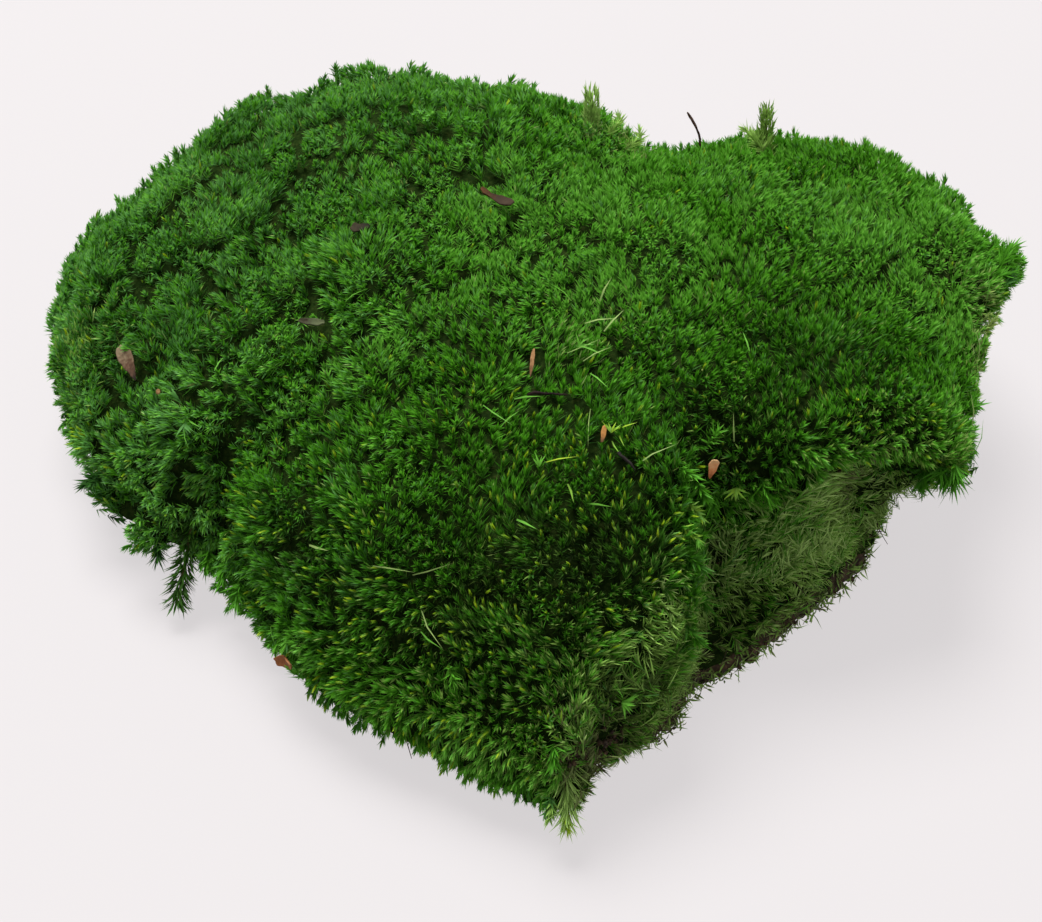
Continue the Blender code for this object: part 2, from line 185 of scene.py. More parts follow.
# Where the mat comes out further than elsewhere: pixel, radius, how far
MAT_BULGES = (
    (606, 770, 6, 2.4), (636, 752, 5, 1.2), (594, 782, 5, 2.0), (686, 707, 5, -1.6), (846, 582, 5, -1.2),
    (720, 682, 5, -0.8),
)

# Crumbs of earth in the hollows and along the foot: pixel of the middle, spread across and up, how many
CRUMB_PATCHES = (
    (600, 764, 13, 9, 90), (625, 748, 9, 7, 40), (868, 552, 4, 4, 12), (864, 480, 10, 6, 26),
    (705, 640, 12, 12, 20),
)

# Where young yellow buds stand thickest: pixel of the centre, radius, share of the shoots
BUD_PATCHES = (
    (330, 560, 13, 0.6), (250, 520, 10, 0.5), (560, 440, 9, 0.5), (630, 515, 10, 0.5), (500, 450, 10, 0.35),
    (90, 415, 8, 0.4), (450, 665, 12, 0.35), (690, 540, 7, 0.35), (400, 430, 12, 0.2), (340, 660, 10, 0.3),
    (430, 620, 14, 0.4), (520, 640, 10, 0.3), (300, 470, 10, 0.35), (360, 420, 10, 0.2), (600, 480, 9, 0.4),
    (80, 330, 6, 0.35), (560, 560, 10, 0.25), (170, 560, 6, 0.2), (300, 400, 9, 0.15),
)

# The mat under the moss
MAT_VOXEL = 1.7
MAT_CRUMBS = 1100
CRUMB_SPREAD = 0.5
ROOTLETS = 170
MAT_STRANDS_EACH = 5
MAT_STRAND_SPACING = 1.15

# The thatch inside the cushion: how deep it lies, how much less deep below, its grain and its lowest height
THATCH_DEPTH = 3.6
THATCH_LIFT_BELOW = 3.0
THATCH_VOXEL = 2.4
THATCH_FLOOR = 0.6

# How far every piece stays inside the box of the solids
EDGE_GAP = 0.05

# Leaves: the stations along a leaf, its share of the full width at each, and its place in the colour map
STATIONS = np.array((0.0, 0.4, 1.0))
LEAF_SHAPE = np.array((0.7, 1.0, 0.0))
LEAF_V = np.array((0.03, 0.42, 0.97))
TONE_WIDTH = 0.0018
LEAF_TRANSLUCENCY = 0.4
LEAF_FLOOR = 0.1
MOST_TRIANGLES = 190000
LEAVES_EACH = 27
# Places tried for each square of the spacing, to fill a surface evenly
TRIES = 9
# Leaves this far down a shoot are single triangles.
PLAIN_FROM = 0.62
SHOOT_SPACING = 1.42
CLUMP_SPACING = 6.0
CLUMP_UNEVENNESS = 4.5

# Tones along the colour map: fresh green to 0.42, cool green to 0.62, buds, dry leaves, torn side, brown
LEAF_TONES = (
    (0.00, (31, 48, 11)), (0.09, (44, 83, 13)), (0.21, (58, 121, 16)), (0.33, (81, 153, 28)),
    (0.42, (106, 175, 55)), (0.46, (27, 58, 20)), (0.54, (60, 116, 42)), (0.62, (100, 160, 80)),
    (0.66, (150, 188, 34)), (0.74, (186, 200, 30)), (0.80, (144, 172, 96)), (0.84, (76, 102, 40)),
    (0.90, (140, 182, 80)), (0.95, (182, 214, 126)), (1.00, (62, 46, 28)),
)
# Paler colour mixed into leaf tips: partly the tips' own colour, partly a painted highlight
PALE_TIP_AND_HIGHLIGHT = (150, 190, 96)
ROOT_SHADE = ((0.0, 0.5), (0.3, 0.7), (0.62, 0.9), (1.0, 0.95))

# Where kinds of leaves lie on that map. Green leaves take a level, which is stretched over either green.
FRESH_STRETCH = 0.75
COOL_FROM, COOL_STRETCH = 0.46, 0.285
GREEN_BELOW = 0.6
BUD_TONES = (0.625, 0.695)
DRY_TONES = (0.79, 0.805)
OLIVE_TONES = (0.845, 0.9)
# The torn side's range is made paler as painted light in its shade.
WALL_TONES = (0.842, 0.95)
EARTHY_TONES = (0.985, 0.996)
BARE_TONES = (0.975, 0.996)
OLD_STRAND_TONES, DEAD_STRAND_TONES, GREEN_STRAND_TONES = (0.845, 0.915), (0.97, 0.996), (0.18, 0.38)

SEED = 20
rng = np.random.default_rng(SEED)
# Vector noise starts from the time of day unless it is given a seed too.
noise.seed_set(SEED)


# Small tools

def linear(rgb):
    """A colour given as 0 to 255 on a screen, as linear light."""
    c = np.asarray(rgb, float) / 255
    return tuple(np.where(c <= 0.04045, c / 12.92, ((c + 0.055) / 1.055) ** 2.4))


def unit(v):
    return v / np.maximum(np.linalg.norm(v, axis=-1, keepdims=True), 1e-9)


def smooth_step(low, high, x):
    t = np.clip((x - low) / (high - low), 0, 1)
    return t * t * (3 - 2 * t)


def in_frame(*places):
    """Places given in the source's plan, in the frame."""
    return [np.array(place) + PLAN_ORIGIN for place in places]


def noise_at(points, scale, seed=0.0):
    """Smooth noise from about -1 to 1 at points in millimetres."""
    shift = Vector((seed, -seed, 0.5 * seed))
    return np.array([noise.noise(Vector(p) / scale + shift) for p in points])


def noise_vector_at(points, scale, seed=0.0):
    shift = Vector((seed, -seed, 0.5 * seed))
    return np.array([noise.noise_vector(Vector(p) / scale + shift) for p in points])


def frame_round(axis):
    """Two unit vectors square to each axis and to each other."""
    helper = np.where(np.abs(axis[:, 2:3]) < 0.9, UP, np.array((1.0, 0.0, 0.0)))
    first = unit(np.cross(axis, helper))
    return first, np.cross(axis, first)


def surface(node):
    """A node's corners, triangles and smooth corner normals, welded, in millimetres."""
    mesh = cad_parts[node].data
    places = np.round(read_vectors(mesh, "co").astype(float) * 1000, 3)
    mesh.calc_loop_triangles()
    faces = np.empty(len(mesh.loop_triangles) * 3, np.int32)
    mesh.loop_triangles.foreach_get("vertices", faces)
    points, welded = np.unique(places, axis=0, return_inverse=True)
    faces = welded.reshape(-1)[faces].reshape(-1, 3)
    a, b, c = (points[faces[:, k]] for k in range(3))
    square = np.cross(b - a, c - a)
    normals = np.zeros_like(points)
    for k in range(3):
        np.add.at(normals, faces[:, k], square)
    return points, faces, unit(normals)


def read_vectors(mesh, field):
    """What a mesh holds for each corner: its place, co, or its normal."""
    values = np.empty(len(mesh.vertices) * 3, np.float32)
    mesh.vertices.foreach_get(field, values)
    return values.reshape(-1, 3)


def write_points(mesh, points):
    mesh.vertices.foreach_set("co", (points * MM).astype(np.float32).ravel())
    mesh.update()


def inside_box(points, floor=EDGE_GAP):
    """Points held inside the box of the solids, and at least so far above its floor."""
    low, high = (np.array(c) / MM for c in CAD_BOX)
    return np.clip(points, low + (EDGE_GAP, EDGE_GAP, floor), high - EDGE_GAP)


def raw_object(name, points, faces):
    """An object of points in millimetres, for a modifier to work on."""
    mesh = bpy.data.meshes.new(name)
    mesh.from_pydata(points * MM, [], faces)
    made = bpy.data.objects.new(name, mesh)
    bpy.context.scene.collection.objects.link(made)
    return made


def settled(made):
    """The mesh that an object's modifiers give. The object goes."""
    solid = bpy.data.meshes.new_from_object(made.evaluated_get(bpy.context.evaluated_depsgraph_get()))
    bpy.data.objects.remove(made)
    return solid


def remeshed(name, points, faces, voxel):
    """One closed skin round a form, made of cells of a given size."""
    made = raw_object(name, points, faces)
    remesh = made.modifiers.new("remesh", "REMESH")
    remesh.mode = "VOXEL"
    remesh.voxel_size = voxel * MM
    return settled(made)


def new_material(name):
    material = bpy.data.materials.new(name)
    material.use_nodes = True
    return material, material.node_tree.nodes, material.node_tree.links


def set_inputs(node, **values):
    """A shader node with inputs set by their names, in which _ stands for a space."""
    for name, value in values.items():
        node.inputs[name.replace("_", " ")].default_value = value
    return node


def ramp(nodes, stops):
    """Colours by their places on a scale from 0 to 1."""
    node = nodes.new("ShaderNodeValToRGB")
    elements = node.color_ramp.elements
    while len(elements) < len(stops):
        elements.new(0.5)
    for element, (place, colour) in zip(elements, stops):
        element.position = place
        element.color = (*colour, 1)
    return node


def grain_over(nodes, links, scale, detail=2.0, roughness=0.5):
    """The object's own coordinates, and noise over them."""
    place = nodes.new("ShaderNodeTexCoord")
    grain = set_inputs(nodes.new("ShaderNodeTexNoise"), Scale=scale, Detail=detail, Roughness=roughness)
    links.new(place.outputs["Object"], grain.inputs["Vector"])
    return place, grain


def matt_surface(nodes, links, colour, grain, strength, depth, roughness, gloss):
    """A matt surface with a colour, and a bump from its grain."""
    shader = set_inputs(nodes["Principled BSDF"], Roughness=roughness, Specular_IOR_Level=gloss)
    links.new(colour.outputs["Color"], shader.inputs["Base Color"])
    relief = set_inputs(nodes.new("ShaderNodeBump"), Strength=strength, Distance=depth)
    links.new(grain.outputs["Fac"], relief.inputs["Height"])
    links.new(relief.outputs["Normal"], shader.inputs["Normal"])


def leaf_material():
    """Colour by the leaf's own map: tone across, root to tip along."""
    material, nodes, links = new_material("moss_leaf")
    shader = set_inputs(nodes["Principled BSDF"], Specular_IOR_Level=0.2)
    uv = nodes.new("ShaderNodeUVMap")
    uv.uv_map = "OFBake"
    split = nodes.new("ShaderNodeSeparateXYZ")
    links.new(uv.outputs["UV"], split.inputs[0])
    tone = ramp(nodes, [(place, linear(c)) for place, c in LEAF_TONES])
    links.new(split.outputs["X"], tone.inputs[0])
    shade = ramp(nodes, [(place, (f, f, f)) for place, f in ROOT_SHADE])
    links.new(split.outputs["Y"], shade.inputs[0])
    shaded = nodes.new("ShaderNodeMix")
    shaded.data_type = "RGBA"
    shaded.blend_type = "MULTIPLY"
    set_inputs(shaded, Factor=1)
    links.new(tone.outputs["Color"], shaded.inputs["A"])
    links.new(shade.outputs["Color"], shaded.inputs["B"])
    # Toward the tip the colour is mixed paler: partly the tips' own colour, partly a painted highlight.
    near_tip = set_inputs(nodes.new("ShaderNodeMapRange"), From_Min=0.7, To_Max=0.15)
    links.new(split.outputs["Y"], near_tip.inputs["Value"])
    colour = nodes.new("ShaderNodeMix")
    colour.data_type = "RGBA"
    set_inputs(colour, B=(*linear(PALE_TIP_AND_HIGHLIGHT), 1))
    links.new(near_tip.outputs[0], colour.inputs["Factor"])
    links.new(shaded.outputs["Result"], colour.inputs["A"])
    links.new(colour.outputs["Result"], shader.inputs["Base Color"])
    rough = set_inputs(nodes.new("ShaderNodeMapRange"), To_Min=0.8, To_Max=0.5)
    links.new(split.outputs["Y"], rough.inputs["Value"])
    links.new(rough.outputs[0], shader.inputs["Roughness"])
    through = nodes.new("ShaderNodeBsdfTranslucent")
    links.new(colour.outputs["Result"], through.inputs["Color"])
    both = nodes.new("ShaderNodeMixShader")
    both.inputs[0].default_value = LEAF_TRANSLUCENCY
    links.new(shader.outputs[0], both.inputs[1])
    links.new(through.outputs[0], both.inputs[2])
    links.new(both.outputs[0], nodes["Material Output"].inputs["Surface"])
    return material


def earth_material(name, dark, middle, light, grain, bump, roughness=0.9, gloss=0.25):
    """A mottled matt material: noise through a ramp, and a bump."""
    material, nodes, links = new_material(name)
    _, fine = grain_over(nodes, links, grain, 6, 0.65)
    colour = ramp(nodes, [(0.3, linear(dark)), (0.52, linear(middle)), (0.72, linear(light))])
    links.new(fine.outputs["Fac"], colour.inputs[0])
    matt_surface(nodes, links, colour, fine, bump, 0.0006, roughness, gloss)
    return material


def add_object(name, mesh, material, slot=None, replaced=()):
    made = bpy.data.objects.new(name, mesh)
    bpy.context.scene.collection.objects.link(made)
    mesh.materials.clear()
    mesh.materials.append(material)
    if slot:
        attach(made, "root")
    if replaced:
        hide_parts(*replaced)
    return made


def leaf_points(root, axis, radial, length, lean, curl, width, drift, twist):
    """Corner points (n, 5, 3) of n leaves: two at each of two stations, and one at the tip."""
    middles = (STATIONS[1:] + STATIONS[:-1]) / 2
    steps = np.diff(STATIONS)
    angle = lean[:, None] + curl[:, None] * middles
    step = (np.cos(angle)[..., None] * axis[:, None] + np.sin(angle)[..., None] * radial[:, None])
    step *= (length[:, None] * steps)[..., None]
    spine = np.concatenate((np.zeros((len(root), 1, 3)), np.cumsum(step, axis=1)), axis=1)
    spine += root[:, None] + drift[:, None] * (STATIONS**2)[None, :, None]
    at = lean[:, None] + curl[:, None] * STATIONS
    across = np.cross(axis, radial)[:, None]
    face = -np.sin(at)[..., None] * axis[:, None] + np.cos(at)[..., None] * radial[:, None]
    turn = twist[:, None, None]
    side = np.cos(turn) * across + np.sin(turn) * face
    side = side * (LEAF_SHAPE * width[:, None] / 2)[..., None]
    left, right = spine - side, spine + side
    pairs = np.stack((left[:, :2], right[:, :2]), axis=2).reshape(len(root), 4, 3)
    return np.concatenate((pairs, spine[:, 2:3]), axis=1)


def leaf_mesh(name, points, tones, material, plain=None):
    """One mesh of many leaves, with the map that gives their colour. Plain leaves are single triangles."""
    points = inside_box(points, LEAF_FLOOR)
    tones = np.clip(tones, 0.004, 0.996)
    if plain is None:
        plain = np.zeros(len(points), bool)
    full, few = np.count_nonzero(~plain), np.count_nonzero(plain)
    corners = np.concatenate((points[~plain].reshape(-1, 3), points[plain][:, (0, 1, 4)].reshape(-1, 3)))
    base = np.arange(full)[:, None] * 5
    loops = np.concatenate((base + (0, 1, 3, 2), base + (2, 3, 4)), axis=1).ravel()
    loops = np.concatenate((loops, full * 5 + np.arange(few * 3)))
    starts = (np.arange(full)[:, None] * 7 + (0, 4)).ravel()
    starts = np.concatenate((starts, full * 7 + np.arange(few) * 3))
    mesh = bpy.data.meshes.new(name)
    mesh.vertices.add(len(corners))
    mesh.vertices.foreach_set("co", (corners * MM).astype(np.float32).ravel())
    mesh.loops.add(len(loops))
    mesh.loops.foreach_set("vertex_index", loops.astype(np.int32))
    mesh.polygons.add(len(starts))
    mesh.polygons.foreach_set("loop_start", starts.astype(np.int32))
    mesh.polygons.foreach_set("use_smooth", np.ones(len(starts), bool))
    maps = []
    kinds = ((~plain, (-1, 1, -1, 1, 0), (0, 0, 1, 1, 2)), (plain, (-1, 1, 0), (0, 0, 2)))
    for chosen, sides, stations in kinds:
        across = tones[chosen][:, None] + np.array(sides) * TONE_WIDTH
        along = np.broadcast_to(LEAF_V[list(stations)], across.shape)
        maps.append(np.stack((across, along), axis=-1).reshape(-1, 2))
    layer = mesh.uv_layers.new(name="OFBake")
    mesh.update(calc_edges=True)
    layer.data.foreach_set("uv", np.concatenate(maps)[loops].astype(np.float32).ravel())
    return add_object(name, mesh, material, "moss")


def make_camera():
    aim = Vector(np.array(AIM) + PLAN_ORIGIN) * MM
    back = Vector(BACK)
    data = bpy.data.cameras.new("camera")
    data.lens = LENS
    camera = bpy.data.objects.new("camera", data)
    camera.location = aim + back * CAMERA_DISTANCE * MM
    camera.rotation_euler = (-back).to_track_quat("-Z", "Y").to_euler()
    bpy.context.scene.collection.objects.link(camera)
    bpy.context.scene.camera = camera


def make_stage():
    scene = bpy.context.scene
    scene.view_settings.view_transform = "Standard"
    scene.world = bpy.data.worlds.new("sky")
    scene.world.use_nodes = True
    set_inputs(scene.world.node_tree.nodes["Background"], Color=(*SKY, 1), Strength=SKY_STRENGTH)
    key = bpy.data.lights.new("key", "AREA")
    key.shape = "DISK"
    key.size = KEY_SIZE
    key.energy = KEY_POWER
    key.color = KEY_COLOUR
    lamp = bpy.data.objects.new("key", key)
    lamp.location = KEY_PLACE
    lamp.rotation_euler = (-Vector(KEY_PLACE)).to_track_quat("-Z", "Y").to_euler()
    scene.collection.objects.link(lamp)
    turns = [math.tau * k / FLOOR_SIDES for k in range(FLOOR_SIDES)]
    rim = [(math.cos(a) * FLOOR_RADIUS, math.sin(a) * FLOOR_RADIUS, -FLOOR_DROP) for a in turns]
    mesh = bpy.data.meshes.new("floor")
    mesh.from_pydata(rim, [], [range(FLOOR_SIDES)])
    material, nodes, links = new_material("floor")
    shader = set_inputs(nodes["Principled BSDF"], Roughness=0.75, Specular_IOR_Level=0.2)
    # Painted light: the floor glows, which thins the shadows on it.
    set_inputs(shader, Emission_Color=(*FLOOR_GLOW, 1), Emission_Strength=1)
    _, cloud = grain_over(nodes, links, 5)
    pale = ramp(nodes, [(0.0, tuple(0.985 * c for c in FLOOR_COLOUR)), (1.0, FLOOR_COLOUR)])
    links.new(cloud.outputs["Fac"], pale.inputs[0])
    links.new(pale.outputs["Color"], shader.inputs["Base Color"])
    add_object("floor", mesh, material)


# The cushion

def scatter(points, faces, normals, spacing, keep):
    """Points spread evenly over a surface, with their normals. keep gives the share kept at a point."""
    a, b, c = (points[faces[:, k]] for k in range(3))
    areas = np.linalg.norm(np.cross(b - a, c - a), axis=1) / 2
    count = int(areas.sum() / spacing**2 * TRIES)
    chosen = rng.choice(len(faces), count, p=areas / areas.sum())
    r, s = np.sqrt(rng.random(count)), rng.random(count)
    weights = np.stack((1 - r, r * (1 - s), r * s), axis=1)
    at = (points[faces[chosen]] * weights[..., None]).sum(axis=1)
    normal = unit((normals[faces[chosen]] * weights[..., None]).sum(axis=1))
    wanted = rng.random(count) < keep(at, normal)
    at, normal = at[wanted], normal[wanted]
    tree = KDTree(len(at))
    for n, p in enumerate(at):
        tree.insert(p, n)
    tree.balance()
    free = np.ones(len(at), bool)
    kept = []
    for n, p in enumerate(at):
        if free[n]:
            kept.append(n)
            for _, other, _ in tree.find_range(p, spacing):
                free[other] = False
    return at[kept], normal[kept]


def along_segment(at, start, end):
    """How far along a segment each place lies, from 0 to 1 and beyond, and its distance from the line."""
    start, end = in_frame(start, end)
    way = end - start
    share = (at - start) @ way / (way @ way)
    return share, np.linalg.norm(at - start - share[:, None] * way, axis=1)


def on_stray_shoot(at):
    """Whether each place belongs to a single shoot, which is drawn on its own."""
    found = np.zeros(len(at), bool)
    for start, end, radius in STRAY_SHOOTS:
        share, off = along_segment(at, start, end)
        found |= (share > 0.25) & (share < 1.6) & (off < radius * 1.7)
    return found


def torn_share(at, normal):
    """How far a place belongs to the torn side, from 0 to 1."""
    facing = normal @ np.array((math.cos(TORN_FACING), math.sin(TORN_FACING), 0))
    sideways = np.maximum(np.hypot(normal[:, 0], normal[:, 1]), 0.4)
    facing = np.where(normal[:, 2] < 0.1, facing / sideways, facing)
    compass = np.arctan2(at[:, 1], at[:, 0])
    inside = smooth_step(TORN_FROM - 0.12, TORN_FROM + 0.06, compass)
    inside *= 1 - smooth_step(TORN_TO - 0.1, TORN_TO + 0.12, compass)
    across, heights = zip(*TORN_TOP)
    top = np.interp(at[:, 0] - PLAN_ORIGIN[0], across, heights) + 5.0 * noise_at(at, 6, 7.7)
    facing = facing + 0.34 * noise_at(at, 6, 11.0)
    found = inside * smooth_step(0.32, 0.82, facing) * (1 - smooth_step(-2, 2, at[:, 2] - top))
    return np.clip(found + patches_at(at, TORN_PATCHES), 0, 1)


def patches_at(at, patches):
    """How strongly each place is touched by patches given as pixel, radius and amount."""
    change = np.zeros(len(at))
    for px, py, radius, amount in patches:
        centre, _ = seen_near(skin, px, py)
        change += amount * np.exp(-(((at - centre) / radius) ** 2).sum(axis=1))
    return change


def combed(at):
    """How moss on the front slope lies: up at the top, to the left on the left, and down at the foot."""
    x = at[:, 0] - PLAN_ORIGIN[0]
    hanging = 1 - smooth_step(11, 26, at[:, 2])
    left = smooth_step(8, -42, x) * (1 - hanging)
    right = smooth_step(34, 60, x) * (1 - hanging)
    rest = 1 - hanging - left - right
    ways = (
        (hanging, (-0.35, -0.35, -0.45)),
        (left, (-0.8, -0.1, 0.0)),
        (right, (0.35, -0.2, 0.05)),
        (rest, (-0.12, 0.1, 0.8)),
    )
    return sum(share[:, None] * np.array(way) for share, way in ways)


def clumps(at, centres):
    """The clump that each shoot belongs to, the way out from its middle, and the room to the next clump."""
    tree = KDTree(len(centres))
    for n, p in enumerate(centres):
        tree.insert(p, n)
    tree.balance()
    draw = rng.uniform(0, CLUMP_UNEVENNESS, len(centres))
    chosen, border = np.empty(len(at), int), np.empty(len(at))
    for k, p in enumerate(at):
        reach = sorted((d + draw[n], n) for _, n, d in tree.find_n(p, 6))
        chosen[k], border[k] = reach[0][1], reach[1][0] - reach[0][0]
    return chosen, unit(at - centres[chosen]), border


def shoots_share(at, normal):
    """The share of shoots that grow at each place: few or none where the skin faces down."""
    under = smooth_step(-0.88, -0.62, normal[:, 2]) + 0.03 * smooth_step(9, 12, at[:, 2])
    return np.minimum(under, 1) * (at[:, 2] > 2.2) * ~on_stray_shoot(at)


def nest(at):
    """How far each shoot lies under a scrap or just beside it, and the way from it to that scrap."""
    under, beside = np.zeros(len(at)), np.zeros(len(at))
    toward = np.zeros_like(at)
    for node, (start, end, *_) in LITTER.items():
        if node == "seed_stalk_back":
            continue
        half = LITTER_HALF_WIDTH.get(node, USUAL_HALF_WIDTH)
        foot, head = in_frame(start, end)
        way = head - foot
        share = np.clip((at - foot) @ way / (way @ way), 0, 1)
        reach = foot + share[:, None] * way - at
        off = np.linalg.norm(reach, axis=1)
        under = np.maximum(under, 1 - smooth_step(half * 0.6, half + 0.5, off))
        near = smooth_step(half * 0.6, half + 0.5, off) * (1 - smooth_step(half + 1.2, half + 2.4, off))
        toward += near[:, None] * unit(reach)
        beside = np.maximum(beside, near)
    return under, beside, toward


def cushion_leaves():
    """The leaves of every shoot on the cushion, as points and tones."""
    points, faces, normals = surface("moss_cushion")
    at, normal = scatter(points, faces, normals, SHOOT_SPACING, shoots_share)
    torn = torn_share(at, normal)
    count = len(at)
    patch = noise_at(at, 22, 3.1)
    tuft = noise_at(at, 6, 8.3)
    wander = noise_vector_at(at, 9, 5.7)
    swirl = noise_vector_at(at, 13, 12.4)
    centres, _ = scatter(points, faces, normals, CLUMP_SPACING, shoots_share)
    clump, outward, border = clumps(at, centres)
    clump_way = rng.normal(size=(len(centres), 3))[clump]
    clump_rise = rng.uniform(-1.0, 1.0, len(centres))[clump]
    clump_level = rng.uniform(-0.05, 0.05, len(centres))[clump]
    left_back = smooth_step(35, -40, at[:, 0] - 0.7 * at[:, 1])
    clumped = (0.5 + 0.5 * left_back) * (1 - torn)
    crease = (1 - smooth_step(0.3, 2.5, border)) * clumped
    crease = crease * smooth_step(-0.7 - 0.3 * left_back, 0.35, noise_at(at, 16, 21.0))
    low = 1 - smooth_step(8, 34, at[:, 2])
    front = smooth_step(0.15, 0.75, -normal[:, 1]) * (1 - torn)
    under, beside, toward = nest(at)

    # Painted light and shade, together with the moss's own lighter and darker patches
    shade = patches_at(at, LIGHT_SHADE_AND_TONE_PATCHES)
    bare = np.clip(patches_at(at, BARE_PATCHES), 0, 1)

    # The way that each shoot grows
    upright = (0.75 - 0.55 * front + 0.25 * left_back) * smooth_step(-0.5, 0.35, normal[:, 2])
    axis = 0.6 * normal + upright[:, None] * UP + (0.3 + 0.15 * front)[:, None] * wander
    axis = axis + (0.85 * front)[:, None] * combed(at)
    axis = axis + 0.13 * rng.normal(size=(count, 3)) + (0.3 * crease)[:, None] * outward + 0.7 * toward
    axis = axis + (0.3 * clumped)[:, None] * clump_way
    along_wall = np.array((0.77, 0.63, 0.0))
    foot = 1 - smooth_step(7, 18, at[:, 2])
    wall_axis = (0.35 + 0.35 * foot)[:, None] * normal + 0.25 * along_wall + 0.4 * swirl + 0.45 * clump_way
    wall_axis = wall_axis + 0.5 * rng.normal(size=(count, 3)) + (0.55 - 0.75 * foot)[:, None] * UP
    wall_axis[:, 2] = np.maximum(wall_axis[:, 2], 0.1 - 0.6 * foot)
    axis = unit(axis + torn[:, None] * (wall_axis - axis))
    deeper = unit(axis + torn[:, None] * (normal - axis))
    ridge_place = 29 + 3.5 * noise_at(at, 8, 14.0)
    off_ridge = (at[:, 0] - PLAN_ORIGIN[0] - ridge_place) / 4
    ridge = np.exp(-off_ridge**2) * smooth_step(-36, -44, at[:, 1] - PLAN_ORIGIN[1])
    ridge = ridge * (at[:, 2] > 14) * (1 - torn)

    # How far its tip stands out of the skin, or lies under it
    rise = -1.7 + 0.1 * left_back + 0.6 * tuft + rng.uniform(-0.5, 0.5, count)
    rise = rise - (1.9 + 0.8 * left_back) * crease
    rise = rise + (0.1 + (1.5 + 0.5 * left_back) * clump_rise) * clumped
    rise = rise - 2.2 * bare
    rise = rise + (0.9 * clump_rise - 0.4) * torn
    rise = rise + ridge * (rng.uniform(-0.5, 1.2, count) + 1.4 * noise_at(at, 5, 17.0))
    axis = unit(axis + (0.55 * ridge)[:, None] * rng.normal(size=(count, 3)))
    tall = rng.random(count) < 0.06 + 0.05 * left_back
    rise = rise + tall * rng.uniform(0.5, 1.5, count) * (1 - torn) * (1 - under)
    rise = rise - 1.3 * under + 0.9 * beside
    apex = at + deeper * rise[:, None] + normal * patches_at(at, RISE_PATCHES)[:, None]

    # Its leaves, in a spiral from the tip down
    order = (np.arange(LEAVES_EACH) + 0.5) / LEAVES_EACH
    t = np.clip(order + rng.normal(0, 0.03, (count, LEAVES_EACH)), 0.01, 1)
    turn = rng.random((count, 1)) * math.tau + GOLDEN_ANGLE * np.arange(LEAVES_EACH)
    turn = turn + rng.normal(0, 0.15, turn.shape)
    e1, e2 = frame_round(axis)
    radial = np.cos(turn)[..., None] * e1[:, None] + np.sin(turn)[..., None] * e2[:, None]
    reach = 2.5 + (1.7 - 2.0 * foot) * torn
    root = apex[:, None] - axis[:, None] * (reach[:, None] * t**1.2)[..., None]
    size = rng.uniform(0.85, 1.15, (count, 1)) * rng.uniform(0.8, 1.2, t.shape)
    length = (1.4 + 0.8 * np.sqrt(t)) * size * (1 + (0.6 - 0.45 * foot) * torn)[:, None]
    spread = 29 + 12 * left_back + rng.uniform(-6, 10, count) + 10 * torn
    lean = np.radians(4 + spread[:, None] * t**0.7 + rng.normal(0, 7, t.shape))
    curl = np.radians(7 + rng.normal(0, 11, t.shape))
    width = rng.uniform(0.3, 0.47, t.shape) * (1 - 0.22 * torn[:, None])
    twist = rng.normal(0, 0.7, t.shape)
    sweep = unit(noise_vector_at(at, 14, 1.3)) * rng.uniform(0.1, 0.5, (count, 1))
    sweep = (sweep - (sweep * axis).sum(axis=1, keepdims=True) * axis)[:, None] * length[..., None]

    # Their tones: green first, then buds, dry and olive leaves, and those of the torn side and the hollows
    # Painted shade darkens the green level on the front slope, low down, in the creases between clumps and a
    # little along the ridge.
    level = (0.43 + 0.02 * left_back) + 0.08 * patch + 0.04 * tuft - 0.06 * low - 0.2 * front
    level = level - (0.15 + 0.08 * left_back) * crease + clump_level + shade - 0.07 * ridge
    level = level + rng.normal(0, 0.035, count)
    level = level[:, None] + rng.normal(0, 0.03, t.shape) + 0.08 * (1 - t) ** 2
    level = np.clip(level, 0.01, 0.56)
    cool = 0.06 + 0.5 * smooth_step(10, -85, at[:, 0] - 0.5 * at[:, 1]) + 0.12 * noise_at(at, 15, 30.0)
    cool = rng.random(t.shape) < cool[:, None]
    tone = np.where(cool, COOL_FROM + COOL_STRETCH * level, FRESH_STRETCH * level)
    budding = smooth_step(-0.15, 0.35, noise_at(at, 11, 15.2))
    budding = 0.03 + (0.28 * front + 0.08 * low) * budding
    budding = budding + 0.75 * patches_at(at, BUD_PATCHES) * smooth_step(-0.3, 0.2, tuft)
    young = rng.random(count) < budding * (1 - torn)
    apical = young[:, None] & (t < 0.27)
    lean = np.where(apical, np.radians(rng.uniform(1, 8, t.shape)), lean)
    curl = np.where(apical, 0, curl)
    tone = np.where(apical, rng.uniform(*BUD_TONES, t.shape), tone)
    pale = rng.random(t.shape) < (0.008 + patches_at(at, PALE_PATCHES))[:, None]
    tone = np.where(pale, rng.uniform(*DRY_TONES, t.shape), tone)
    olive = rng.random(t.shape) < patches_at(at, OLIVE_PATCHES)[:, None] * (tone < GREEN_BELOW)
    tone = np.where(olive, np.clip(OLIVE_TONES[0] + 0.1 * level, *OLIVE_TONES), tone)
